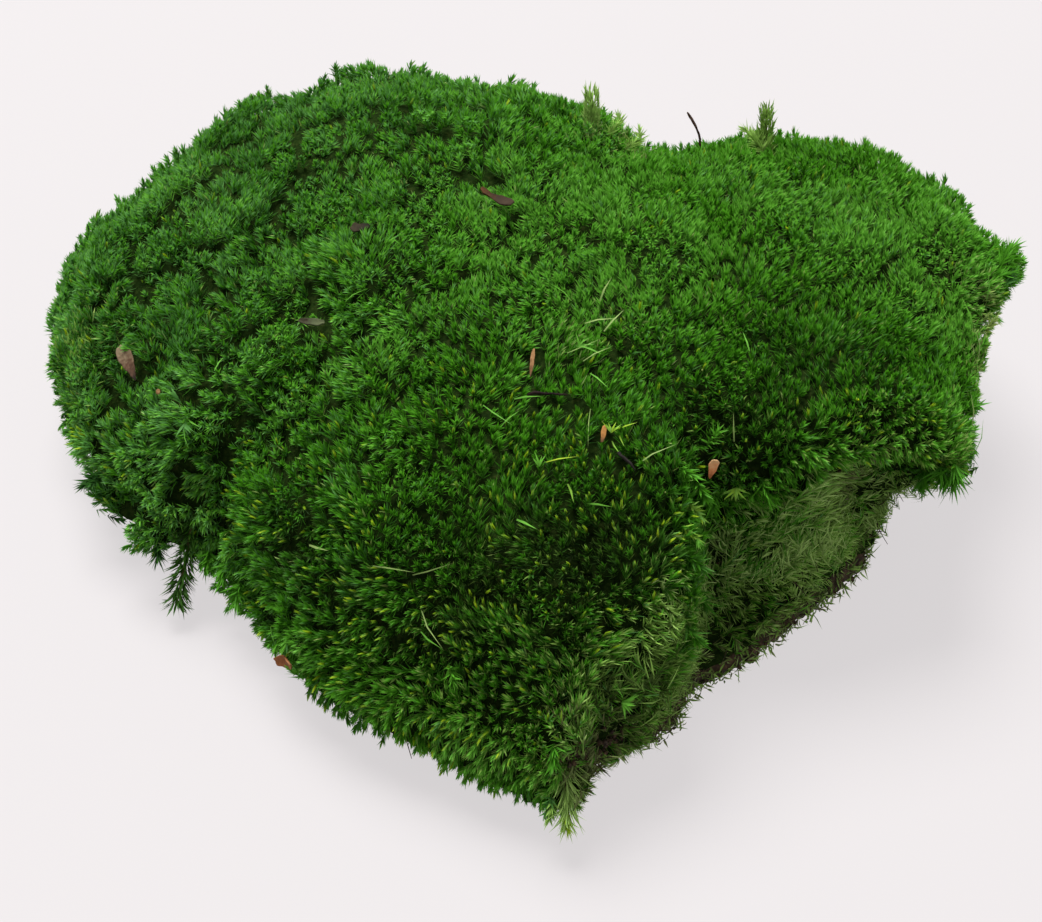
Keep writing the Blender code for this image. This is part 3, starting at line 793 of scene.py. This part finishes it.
    # The torn side's tones are paler than its strands' own olive, as painted light in the shade it lies in;
    # they grow a little lighter higher up.
    wall = 0.915 + 0.025 * noise_at(at, 5, 2.9) + 0.001 * (at[:, 2] - 24)
    wall = wall + patches_at(at, WALL_LIGHT_SHADE_AND_TONE_PATCHES) + 0.3 * clump_level
    wall = np.clip(wall[:, None] + rng.normal(0, 0.026, t.shape), *WALL_TONES)
    earthy = rng.random(t.shape) < (1 - smooth_step(6, 15, at[:, 2]))[:, None] * 0.5
    wall = np.where(earthy, rng.uniform(*EARTHY_TONES, t.shape), wall)
    greener = 0.35 * smooth_step(-0.1, 0.4, noise_at(at, 9, 40.0))
    tone = np.where(rng.random(t.shape) < ((0.95 - greener) * torn)[:, None], wall, tone)
    tone = np.where(rng.random(t.shape) < 0.9 * bare[:, None], rng.uniform(*BARE_TONES, t.shape), tone)
    grown = rng.random(t.shape) > (0.12 * torn + 0.45 * bare)[:, None]

    axes = np.broadcast_to(axis[:, None], (*t.shape, 3))
    parts = (root, axes, radial, length, lean, curl, width, sweep, twist)
    made = leaf_points(*(values.reshape(-1, *values.shape[2:]) for values in parts))
    return made.reshape(*t.shape, 5, 3), tone, grown, t > PLAIN_FROM, at, normal


def mat_strands():
    """Old strands of moss that lie over the edge of the humus, thickest on the torn side."""
    points, faces, normals = surface("humus_mat")

    def torn_part(at):
        compass = np.arctan2(at[:, 1], at[:, 0])
        begun = smooth_step(TORN_FROM - 0.1, TORN_FROM + 0.05, compass)
        return begun * (1 - smooth_step(TORN_TO, TORN_TO + 0.4, compass))

    def share(at, normal):
        seen_foot = smooth_step(0.2, -0.2, normal[:, 1])
        thick = 0.25 + 0.75 * np.maximum(torn_part(at), seen_foot)
        return thick * (np.abs(normal[:, 2]) < 0.75) * (at[:, 2] > 0.5)

    at, normal = scatter(points, faces, normals, MAT_STRAND_SPACING, share)
    count = len(at)
    torn = np.repeat(torn_part(at), MAT_STRANDS_EACH)
    shape = (count, MAT_STRANDS_EACH)
    axis = 0.1 * normal[:, None] + 0.8 * rng.normal(size=(*shape, 3))
    axis = axis + rng.uniform(-0.3, 0.9, shape)[..., None] * UP
    axis = unit(axis.reshape(-1, 3))
    foot = np.repeat(normal, MAT_STRANDS_EACH, axis=0)
    axis = unit(axis + (0.9 * (1 - torn))[:, None] * foot)
    root = np.repeat(at, MAT_STRANDS_EACH, axis=0) + (0.2 - 0.8 * (1 - torn))[:, None] * foot
    root = root + rng.normal(0, 0.5, axis.shape)
    radial = unit(foot - (foot * axis).sum(axis=1, keepdims=True) * axis)
    total = len(axis)
    length = rng.uniform(1.3, 2.8, total) + 0.6 * (1 - torn)
    lean = np.radians(rng.normal(0, 10, total))
    curl = np.radians(rng.normal(-20, 25, total))
    width = rng.uniform(0.3, 0.5, total)
    drift = rng.normal(0, 0.5, (total, 3))
    twist = rng.normal(0, 0.7, total)
    made = leaf_points(root, axis, radial, length, lean, curl, width, drift, twist)
    dead = rng.random(total) < 0.35
    old = np.where(dead, rng.uniform(*DEAD_STRAND_TONES, total), rng.uniform(*OLD_STRAND_TONES, total))
    tones = np.where(rng.random(total) < torn, old, rng.uniform(*GREEN_STRAND_TONES, total))
    return made, tones


def shrunk_core():
    """The dark thatch of old stems inside the cushion, a few millimetres under its skin."""
    points, faces, normals = surface("moss_cushion")
    under = smooth_step(0.3, 0.8, -normals[:, 2])
    moved = points - normals * (THATCH_DEPTH - THATCH_LIFT_BELOW * under)[:, None]
    for start, end, radius in STRAY_SHOOTS:
        share, off = along_segment(points, start, end)
        tip = (share > 0.1) & (share < 1.6) & (off < radius * 1.8)
        foot = np.array(start) + PLAN_ORIGIN - 3 * unit(np.array(end, float) - np.array(start))
        moved[tip] = foot + 0.2 * (points[tip] - foot)
    solid = remeshed("thatch", moved, faces, THATCH_VOXEL)
    co = read_vectors(solid, "co") / MM
    co += noise_vector_at(co, 2.6, 4.4) * 0.9
    co[:, 2] = np.maximum(co[:, 2], THATCH_FLOOR)
    write_points(solid, co)
    return solid


LITTER = {
    # Its pale grey start is partly its own colour and partly a painted highlight.
    "leaf_scrap_left": ((-75.6, 4.4, 37.5), (-71.6, -4.2, 36), (150, 132, 104), (96, 70, 52), (32, 22, 15)),
    # The light colour at its end is a painted highlight.
    "bud_scale_front": ((-43, -52, 11.5), (-39.3, -56.4, 14.5),
                        (170, 108, 62), (148, 88, 50), (180, 124, 84)),
    # Its colours are made lighter as painted light where it lies in shade, and its pale start is a painted
    # highlight.
    "bark_flake_front": ((33.2, -39.5, 47.6), (32.4, -41.2, 44),
                         (255, 206, 150), (246, 160, 104), (170, 96, 50)),
    "bark_flake_top": ((-7.6, 18.3, 63.5), (-1.7, 14.3, 62.8), (92, 60, 32), (54, 40, 26), (66, 52, 38)),
    "leaf_scrap_centre": ((14.5, -41.4, 55.5), (13.7, -44.9, 54.6),
                          (188, 136, 74), (154, 106, 54), (86, 58, 32)),
    "needle_centre": ((2.4, -25.4, 59.2), (1.6, -31.5, 57.7), (168, 128, 86), (134, 98, 62), (80, 54, 34)),
    "husk_left": ((-39.8, -9.1, 53.4), (-34.9, -11.1, 54.8), (44, 30, 20), (76, 84, 56), (92, 100, 68)),
    "leaf_scrap_back": ((-31.4, 10.5, 60.7), (-27.8, 8.8, 61.7), (62, 54, 36), (44, 38, 24), (30, 26, 16)),
    "bark_speck_left": ((-67.2, -9.8, 38), (-65.6, -9.8, 38), (166, 128, 84), (150, 108, 66), (130, 90, 54)),
    "twig_centre": ((1.0, -34.6, 56.7), (8.3, -34.3, 56.4), (44, 30, 26), (28, 18, 16), (40, 28, 22)),
    "twig_bit_centre": ((16.4, -46.4, 54.2), (19.2, -49.6, 52.6), (36, 32, 30), (44, 40, 38), (30, 26, 22)),
    "seed_stalk_back": ((36.3, 51.4, 53.6), (34.4, 53.2, 60.2), (78, 60, 44), (64, 46, 38), (96, 70, 56)),
}


# How dark the litter's colours are kept, how far the grain shifts them, and how deep the scraps are rippled
LITTER_SHADE = 0.5
GRAIN_SHIFT = 0.9
LITTER_RIPPLE = 0.12
# The share of its thickness that a scrap keeps at either end
LITTER_TAPER = {"leaf_scrap_left": (0.9, 0.55), "bark_flake_front": (1.0, 0.4), "needle_centre": (0.7, 0.45),
                "leaf_scrap_centre": (0.7, 0.45), "twig_centre": (0.6, 0.45), "twig_bit_centre": (0.7, 0.6)}
# Half the width that leaves beside a scrap keep clear of, and the kinds of litter other than dead leaf
USUAL_HALF_WIDTH = 1.2
LITTER_HALF_WIDTH = {"leaf_scrap_left": 2.2, "bud_scale_front": 1.6, "bark_flake_front": 1.5,
                     "leaf_scrap_back": 1.6, "bark_flake_top": 1.6, "needle_centre": 0.7, "twig_centre": 0.9,
                     "twig_bit_centre": 0.8, "bark_speck_left": 0.8}
LITTER_SLOTS = {
    "bark": ("bud_scale_front", "bark_flake_front", "bark_speck_left"),
    "twig": ("twig_centre", "twig_bit_centre", "seed_stalk_back"),
}


def litter_material(name, start, end, colours):
    """Colour from one end of a scrap to the other, broken up by its grain."""
    material, nodes, links = new_material(name)
    place, grain = grain_over(nodes, links, 1500, 4)
    way = (np.array(end) - np.array(start)) * MM
    offset = nodes.new("ShaderNodeVectorMath")
    offset.operation = "SUBTRACT"
    offset.inputs[1].default_value = in_frame(start)[0] * MM
    links.new(place.outputs["Object"], offset.inputs[0])
    share = nodes.new("ShaderNodeVectorMath")
    share.operation = "DOT_PRODUCT"
    share.inputs[1].default_value = way / (way @ way)
    links.new(offset.outputs[0], share.inputs[0])
    shift = nodes.new("ShaderNodeMath")
    shift.operation = "MULTIPLY_ADD"
    shift.inputs[1].default_value = GRAIN_SHIFT
    links.new(grain.outputs["Fac"], shift.inputs[0])
    back = nodes.new("ShaderNodeMath")
    back.operation = "SUBTRACT"
    back.inputs[1].default_value = GRAIN_SHIFT / 2
    links.new(share.outputs["Value"], back.inputs[0])
    links.new(back.outputs[0], shift.inputs[2])
    stops = [tuple(LITTER_SHADE * v for v in linear(c)) for c in colours]
    colour = ramp(nodes, [(0.05, stops[0]), (0.5, stops[1]), (0.95, stops[2])])
    links.new(shift.outputs[0], colour.inputs[0])
    matt_surface(nodes, links, colour, grain, 0.8, 0.0002, 0.8, 0.1)
    return material


def rounded_copy(node, ripple, start, end):
    """A node's mesh, welded, rounded off, drawn in along its middle line and lightly rippled."""
    points, faces, _ = surface(node)
    made = raw_object(node + "_round", points, faces)
    rounding = made.modifiers.new("rounding", "SUBSURF")
    rounding.levels = rounding.render_levels = 2
    solid = settled(made)
    co = read_vectors(solid, "co") / MM
    foot, head = in_frame(start, end)
    way = head - foot
    share = np.clip((co - foot) @ way / (way @ way), 0, 1)
    first, last = LITTER_TAPER.get(node, (1.0, 1.0))
    middle = foot + share[:, None] * way
    middle[:, 2] += (co[:, 2] - middle[:, 2]).mean()
    co = middle + (co - middle) * (first + (last - first) * share)[:, None]
    co += noise_vector_at(co, 2.1, 5.1) * ripple * 2.5 + noise_vector_at(co, 0.8, 2.2) * ripple
    solid.polygons.foreach_set("use_smooth", np.ones(len(solid.polygons), bool))
    write_points(solid, co)
    return solid


def make_litter():
    for node, (start, end, *colours) in LITTER.items():
        slot = next((s for s, names in LITTER_SLOTS.items() if node in names), "dead_leaf")
        material = litter_material(node, start, end, colours)
        add_object(node + "_detail", rounded_copy(node, LITTER_RIPPLE, start, end), material, slot, [node])


class Tubes:
    """Thin stems and rootlets, gathered into one mesh."""

    def __init__(self, sides):
        self.sides, self.points, self.faces, self.count = sides, [], [], 0

    def add(self, path, radii):
        path = np.asarray(path, float)
        way = unit(np.gradient(path, axis=0))
        e1, e2 = frame_round(way)
        turn = math.tau * np.arange(self.sides) / self.sides
        ring = np.cos(turn)[None, :, None] * e1[:, None] + np.sin(turn)[None, :, None] * e2[:, None]
        rings = path[:, None] + ring * np.asarray(radii, float)[:, None, None]
        first, n = self.count, len(path)
        for k in range(n - 1):
            for j in range(self.sides):
                a, b = first + k * self.sides + j, first + k * self.sides + (j + 1) % self.sides
                self.faces.append((a, b, b + self.sides, a + self.sides))
        self.faces.append([first + j for j in reversed(range(self.sides))])
        self.faces.append([first + (n - 1) * self.sides + j for j in range(self.sides)])
        self.points.append(rings.reshape(-1, 3))
        self.count += n * self.sides

    def mesh(self, name):
        made = bpy.data.meshes.new(name)
        made.from_pydata(inside_box(np.concatenate(self.points)) * MM, [], self.faces)
        made.polygons.foreach_set("use_smooth", np.ones(len(made.polygons), bool))
        return made


def leafy_stem(start, end, count, length, lean, width, tone, radius=0.0):
    """Leaves in a spiral up a stem from start to end, wide at its foot and closed at its tip."""
    start, end = (np.array(v, float) for v in (start, end))
    t = (np.arange(count) + 0.5) / count
    axis = unit(np.tile(end - start, (count, 1)))
    root = start + t[:, None] * (end - start)
    turn = GOLDEN_ANGLE * np.arange(count) + rng.normal(0, 0.2, count)
    e1, e2 = frame_round(axis)
    radial = np.cos(turn)[:, None] * e1 + np.sin(turn)[:, None] * e2
    root = root + radial * (radius * np.sqrt(rng.random(count)))[:, None]
    angle = np.radians(lean[0] + (lean[1] - lean[0]) * t + rng.normal(0, 6, count))
    size = length * rng.uniform(0.75, 1.2, count)
    curl = np.radians(rng.normal(14, 12, count))
    thin = width * rng.uniform(0.8, 1.2, count)
    drift = rng.normal(0, 0.12 * length, (count, 3))
    twist = rng.normal(0, 0.6, count)
    made = leaf_points(root, axis, radial, size, angle, curl, thin, drift, twist)
    return made, tone + rng.normal(0, 0.02 if tone < GREEN_BELOW else 0.005, count)


def tip_of(number, back):
    """A place on the middle line of a single shoot, a distance back from its tip."""
    start, end = (np.array(v, float) for v in STRAY_SHOOTS[number][:2])
    return end + PLAN_ORIGIN - back * unit(end - start)


def seen_at(tree, px, py):
    """The place and normal of the skin that the camera sees at a pixel."""
    side = (px - PHOTO_WIDTH / 2) / FOCAL
    rise = (PHOTO_HEIGHT / 2 - py) / FOCAL
    c, s = math.cos(CAMERA_ELEVATION), math.sin(CAMERA_ELEVATION)
    ray = Vector((side, c + rise * s, -s + rise * c)).normalized()
    hit, normal, _, _ = tree.ray_cast(Vector(EYE), ray)
    return (None, None) if hit is None else (np.array(hit), np.array(normal))


def seen_near(tree, px, py):
    """The same, or the first place met on the way from that pixel to the middle of the picture."""
    for step in np.arange(0, 0.5, 0.01):
        at, normal = seen_at(tree, px + step * (PHOTO_WIDTH / 2 - px), py + step * (PHOTO_HEIGHT / 2 - py))
        if at is not None:
            return at, normal
    raise ValueError(f"no skin near pixel {px}, {py}")


# Long dry leaves: pixel, length, heading in the picture in degrees (0 right, 90 up), width, tone
DRY_LEAVES = (
    (181, 419, 5.0, -48, 0.35, 0.41), (186, 418, 4.6, -30, 0.3, 0.42), (183, 430, 4.2, -66, 0.3, 0.41),
    (222, 357, 3.4, -100, 0.35, 0.41), (269, 627, 3.6, -42, 0.6, 0.41), (421, 611, 8.0, -64, 0.3, 0.8),
    (420, 632, 5.0, -36, 0.36, 0.41), (372, 566, 9.0, -4, 0.3, 0.8), (412, 575, 8.0, 6, 0.28, 0.8),
    (308, 545, 5.2, -10, 0.5, 0.8), (483, 404, 7.0, -62, 0.3, 0.4), (502, 424, 4.4, 52, 0.3, 0.4),
    (590, 408, 8.5, -84, 0.35, 0.8), (546, 461, 5.5, 5, 0.35, 0.68), (567, 352, 6.5, 10, 0.5, 0.8),
    (575, 345, 5.5, -20, 0.5, 0.41), (583, 360, 6.0, 35, 0.4, 0.8), (590, 372, 5.5, -60, 0.4, 0.41),
    (637, 464, 8.0, 38, 0.3, 0.8), (587, 503, 4.5, -4, 0.4, 0.42), (516, 519, 4.6, -28, 0.5, 0.42),
    (568, 483, 4.0, -78, 0.6, 0.64), (734, 442, 5.5, 90, 0.35, 0.8), (514, 398, 5.0, 4, 0.4, 0.42),
    (615, 430, 4.0, -60, 0.4, 0.65), (618, 428, 3.6, 10, 0.4, 0.66), (612, 440, 3.6, -80, 0.4, 0.64),
    (604, 330, 6.5, 60, 0.4, 0.8), (585, 322, 6.0, 20, 0.45, 0.8), (572, 300, 5.5, 120, 0.4, 0.41),
    (600, 300, 6.0, 75, 0.4, 0.8), (345, 300, 4.5, 30, 0.4, 0.42), (650, 150, 5.0, 60, 0.4, 0.8),
    (640, 690, 6.0, 150, 0.4, 0.9), (655, 680, 6.5, 120, 0.4, 0.9), (662, 700, 6.0, 165, 0.4, 0.9),
    (668, 690, 5.5, 100, 0.4, 0.9), (660, 712, 5.0, 190, 0.35, 0.9), (750, 350, 4.6, 95, 0.35, 0.41),
    (974, 330, 7.0, 100, 0.5, 0.41), (980, 360, 7.5, 95, 0.5, 0.8), (976, 395, 7.0, 92, 0.5, 0.41),
    (974, 425, 6.5, 94, 0.45, 0.8), (978, 450, 6.0, 88, 0.45, 0.41), (988, 300, 7.0, 85, 0.5, 0.41),
)

# How a dry leaf arches: its lean at the root, and how far it curls back
DRY_LEAF_ARCH = (math.radians(24), math.radians(-34))

# Bright young shoots on edges and slopes: pixel, heading, leaves, length, tone
FANS = (
    (712, 440, 60, 34, 2.4, 0.36), (688, 470, -40, 34, 2.4, 0.32), (702, 488, -60, 40, 2.6, 0.3),
    (696, 560, -20, 40, 2.8, 0.2), (702, 596, -30, 40, 2.8, 0.18), (694, 632, -35, 40, 2.8, 0.2),
    (690, 530, -30, 30, 2.2, 0.645), (696, 508, -40, 24, 2.0, 0.64), (450, 672, -60, 30, 2.4, 0.36),
    (1004, 262, 40, 44, 3.2, 0.3), (1008, 252, 32, 44, 3.4, 0.34), (1002, 274, 10, 40, 3.0, 0.26),
    (752, 132, 115, 46, 2.0, 0.93), (622, 120, 80, 36, 2.4, 0.92), (642, 136, 70, 30, 2.2, 0.92),
    (764, 142, 104, 50, 3.6, 0.885), (760, 144, 112, 40, 3.2, 0.89), (612, 130, 60, 40, 2.6, 0.905),
    (630, 144, 50, 36, 2.4, 0.905), (548, 806, -110, 44, 1.8, 0.56), (552, 810, -95, 40, 2.0, 0.9),
    (956, 470, -72, 80, 4.6, 0.26), (942, 474, -84, 60, 4.2, 0.22), (924, 476, -100, 50, 3.6, 0.22),
    (90, 478, -115, 50, 2.8, 0.5), (96, 476, -95, 50, 2.6, 0.52), (158, 548, -95, 60, 3.0, 0.5),
    (206, 556, -85, 60, 3.4, 0.33), (222, 570, -75, 60, 3.4, 0.3), (236, 590, -65, 50, 3.0, 0.3),
    (1006, 284, 25, 40, 2.8, 0.57), (996, 326, 30, 26, 2.2, 0.795), (984, 405, 10, 40, 2.4, 0.3),
    (715, 500, -90, 36, 2.8, 0.3), (765, 492, -70, 36, 2.8, 0.3), (555, 752, -95, 36, 2.6, 0.24),
)

# Open heads of young leaves: pixel, heading, leaves, half the angle they spread over, length, width, tone
ROSETTES = (
    (736, 484, -88, 34, 80, 2.8, 0.3, 0.642), (690, 540, -60, 9, 60, 2.6, 0.5, 0.42),
    (188, 425, -50, 7, 34, 3.2, 0.5, 0.6), (578, 350, 40, 5, 60, 4.2, 0.32, 0.42),
    (612, 436, 80, 9, 70, 2.4, 0.36, 0.65), (618, 700, -30, 12, 60, 3.0, 0.5, 0.4),
    (540, 470, 95, 6, 40, 2.4, 0.4, 0.4),
)


def placed_leaves(tree):
    """The dry leaves, open heads and young shoots, lying on the skin where the photograph shows them."""
    right = np.array((1.0, 0.0, 0.0))
    lift = np.array((0.0, math.sin(CAMERA_ELEVATION), math.cos(CAMERA_ELEVATION)))
    points, tones = [], []

    def way_at(px, py, heading):
        at, normal = seen_near(tree, px, py)
        way = math.cos(math.radians(heading)) * right + math.sin(math.radians(heading)) * lift
        return at, normal, unit(way - (way @ normal) * normal)

    for px, py, length, heading, width, tone in DRY_LEAVES:
        at, normal, way = way_at(px, py, heading)
        root, axis, radial = (v[None] for v in (at - 0.3 * normal, way, normal))
        drift = (np.cross(way, normal) * rng.normal(0, 0.16 * length))[None]
        size, lean, curl, thin = (np.array((v,)) for v in (length, *DRY_LEAF_ARCH, 0.85 * width))
        twist = rng.normal(0, 0.3, 1)
        points.append(leaf_points(root, axis, radial, size, lean, curl, thin, drift, twist))
        tones.append(np.array((tone,)))
    for px, py, heading, count, spread, length, width, tone in ROSETTES:
        at, normal, way = way_at(px, py, heading)
        across = np.cross(normal, way)
        angle = np.radians(np.linspace(-spread, spread, count) + rng.normal(0, 7, count))
        out = np.cos(angle)[:, None] * way + np.sin(angle)[:, None] * across
        tilt = np.radians(rng.uniform(14, 52, count))
        root, radial = np.tile(at + 1.1 * normal, (count, 1)), np.tile(normal, (count, 1))
        size = length * rng.uniform(0.55, 1.1, count)
        thin = width * rng.uniform(0.8, 1.15, count)
        drift = rng.normal(0, 0.08 * length, (count, 3))
        twist = rng.normal(0, 0.4, count)
        points.append(leaf_points(root, out, radial, size, tilt, -1.1 * tilt, thin, drift, twist))
        tones.append(tone + rng.normal(0, 0.006, count))
    for px, py, heading, count, length, tone in FANS:
        at, normal, way = way_at(px, py, heading)
        foot, head = at - 1.2 * normal - way, at + 0.5 * normal + 1.6 * way
        made, shades = leafy_stem(foot, head, count, length, (62, 14), 0.42, tone)
        points.append(made)
        tones.append(shades)
    return np.concatenate(points), np.concatenate(tones)


def humus_mesh(skin):
    """The crumbly mat of old stems and earth under the moss, with crumbs that stick to its edge."""
    points, faces, _ = surface("humus_mat")
    solid = remeshed("mat", points, faces, MAT_VOXEL)
    co = read_vectors(solid, "co") / MM
    normals = read_vectors(solid, "normal")
    edge = 1 - smooth_step(0.5, 0.95, np.abs(normals[:, 2]))
    co += noise_vector_at(co, 3.4, 9.1) * (0.5 + 0.9 * edge)[:, None]
    co += noise_vector_at(co, 1.3, 6.6) * 0.55
    for px, py, radius, amount in MAT_BULGES:
        centre, _ = seen_near(skin, px, py)
        reach = np.exp(-(((co - centre)[:, :2] / radius) ** 2).sum(axis=1)) * edge
        co += (amount * reach)[:, None] * normals
    ball, ball_faces = crumb_form()

    def crumb(least):
        size = least + CRUMB_SPREAD * rng.random() ** 2
        return ball * rng.uniform(0.6, 1.3, (len(ball), 1)) * rng.uniform(0.7, 1.2, 3) * size

    crumbs = []
    for n in rng.choice(np.flatnonzero(edge > 0.5), MAT_CRUMBS):
        form = crumb(0.22)
        crumbs.append(form + co[n] + normals[n] * rng.uniform(-0.2, 0.15) + rng.normal(0, 0.3, 3))
    for px, py, across, upward, number in CRUMB_PATCHES:
        for _ in range(number):
            at, normal = seen_at(skin, px + rng.normal(0, across), py + rng.normal(0, upward))
            if at is not None:
                form = crumb(0.25)
                crumbs.append(form + at - rng.uniform(2.5, 3.5) * normal)
    faces = [tuple(f.vertices) for f in solid.polygons]
    for k in range(len(crumbs)):
        first = len(co) + k * len(ball)
        faces += [tuple(corner + first for corner in face) for face in ball_faces]
    made = bpy.data.meshes.new("humus")
    made.from_pydata(inside_box(np.concatenate([co, *crumbs]), 0.0) * MM, [], faces)
    return made


def crumb_form():
    """A rough ball of twenty faces."""
    g = (1 + math.sqrt(5)) / 2
    points = np.array([(-1, g, 0), (1, g, 0), (-1, -g, 0), (1, -g, 0), (0, -1, g), (0, 1, g),
                       (0, -1, -g), (0, 1, -g), (g, 0, -1), (g, 0, 1), (-g, 0, -1), (-g, 0, 1)], float)
    faces = ((0, 11, 5), (0, 5, 1), (0, 1, 7), (0, 7, 10), (0, 10, 11), (1, 5, 9), (5, 11, 4),
             (11, 10, 2), (10, 7, 6), (7, 1, 8), (3, 9, 4), (3, 4, 2), (3, 2, 6), (3, 6, 8),
             (3, 8, 9), (4, 9, 5), (2, 4, 11), (6, 2, 10), (8, 6, 7), (9, 8, 1))
    return unit(points), faces


def make_rootlets(at, normal):
    """Fine roots and dead stems that stick out low on the torn side and round the foot."""
    weight = torn_share(at, normal) * (1 - smooth_step(10, 26, at[:, 2]))
    weight = weight + 0.12 * (1 - smooth_step(4, 9, at[:, 2]))
    tubes = Tubes(3)
    for n in rng.choice(len(at), ROOTLETS, p=weight / weight.sum()):
        way = unit(0.5 * normal[n] + np.array((0, 0, rng.uniform(-0.7, 0.3))) + 0.7 * rng.normal(size=3))
        bend = rng.normal(0, 0.8, 3)
        length = rng.uniform(0.8, 1.9)
        t = np.linspace(0, 1, 5)[:, None]
        path = at[n] - 1.8 * normal[n] + way * length * t + bend * length * t * t
        path[:, 2] = np.maximum(path[:, 2], 0.3)
        radius = rng.uniform(0.08, 0.2)
        tubes.add(path, radius * np.linspace(1, 0.35, 5))
    return tubes.mesh("rootlets")


make_camera()
make_stage()

leaf = leaf_material()
thatch = earth_material("moss_thatch", (12, 20, 7), (22, 36, 11), (40, 48, 20), 900, 0.9, 1.0, 0.0)
add_object("thatch", shrunk_core(), thatch, "moss", ["moss_cushion"])

points, faces, _ = surface("moss_cushion")
skin = BVHTree.FromPolygons([Vector(p) for p in points], faces.tolist())
made, tones, grown, plain, shoots_at, shoots_normal = cushion_leaves()
order = np.argsort(np.arctan2(shoots_at[:, 1], shoots_at[:, 0]))
triangles = (grown * np.where(plain, 1, 3)).sum()
sectors = math.ceil(triangles / MOST_TRIANGLES)
for n, part in enumerate(np.array_split(order, sectors)):
    kept = grown[part]
    leaf_mesh(f"shoots_{n + 1}", made[part][kept], tones[part][kept], leaf, plain[part][kept])

stray, stray_tones, stems = [], [], Tubes(5)
for (start, end, _), (count, length, lean, thick, width, tone) in zip(STRAY_SHOOTS, STRAY_LEAVES):
    start, end = in_frame(start, end)
    tip = end - 0.45 * length * unit(end - start)
    found = leafy_stem(start - 0.3 * (end - start), tip, count, length, lean, width, tone, radius=thick)
    stray.append(found[0])
    stray_tones.append(found[1])
    stems.add(np.linspace(start - (end - start) * 0.4, tip, 6), [0.4, 0.36, 0.32, 0.28, 0.24, 0.16])
bud, bud_tones = leafy_stem(tip_of(0, 4.6), tip_of(0, 1.6), 34, 3.0, (22, 4), 0.45, 0.68)
stray.append(bud)
stray_tones.append(bud_tones)
leaf_mesh("stray_shoots", np.concatenate(stray), np.concatenate(stray_tones), leaf)
stem = earth_material("moss_stem", (40, 30, 14), (72, 66, 28), (96, 88, 40), 1400, 0.6, 0.7)
add_object("stray_stems", stems.mesh("stray_stems"), stem, "moss")

dry, dry_tones = placed_leaves(skin)
leaf_mesh("dry_leaves", dry, dry_tones, leaf)

leaf_mesh("mat_strands", *mat_strands(), leaf)

soil = earth_material("humus", (20, 14, 9), (54, 41, 27), (96, 77, 54), 700, 1.0)
add_object("humus", humus_mesh(skin), soil, "humus", ["humus_mat"])
root = earth_material("rootlet", (22, 15, 10), (48, 34, 24), (84, 62, 44), 1600, 0.5)
add_object("rootlets", make_rootlets(shoots_at, shoots_normal), root, "humus")
make_litter()
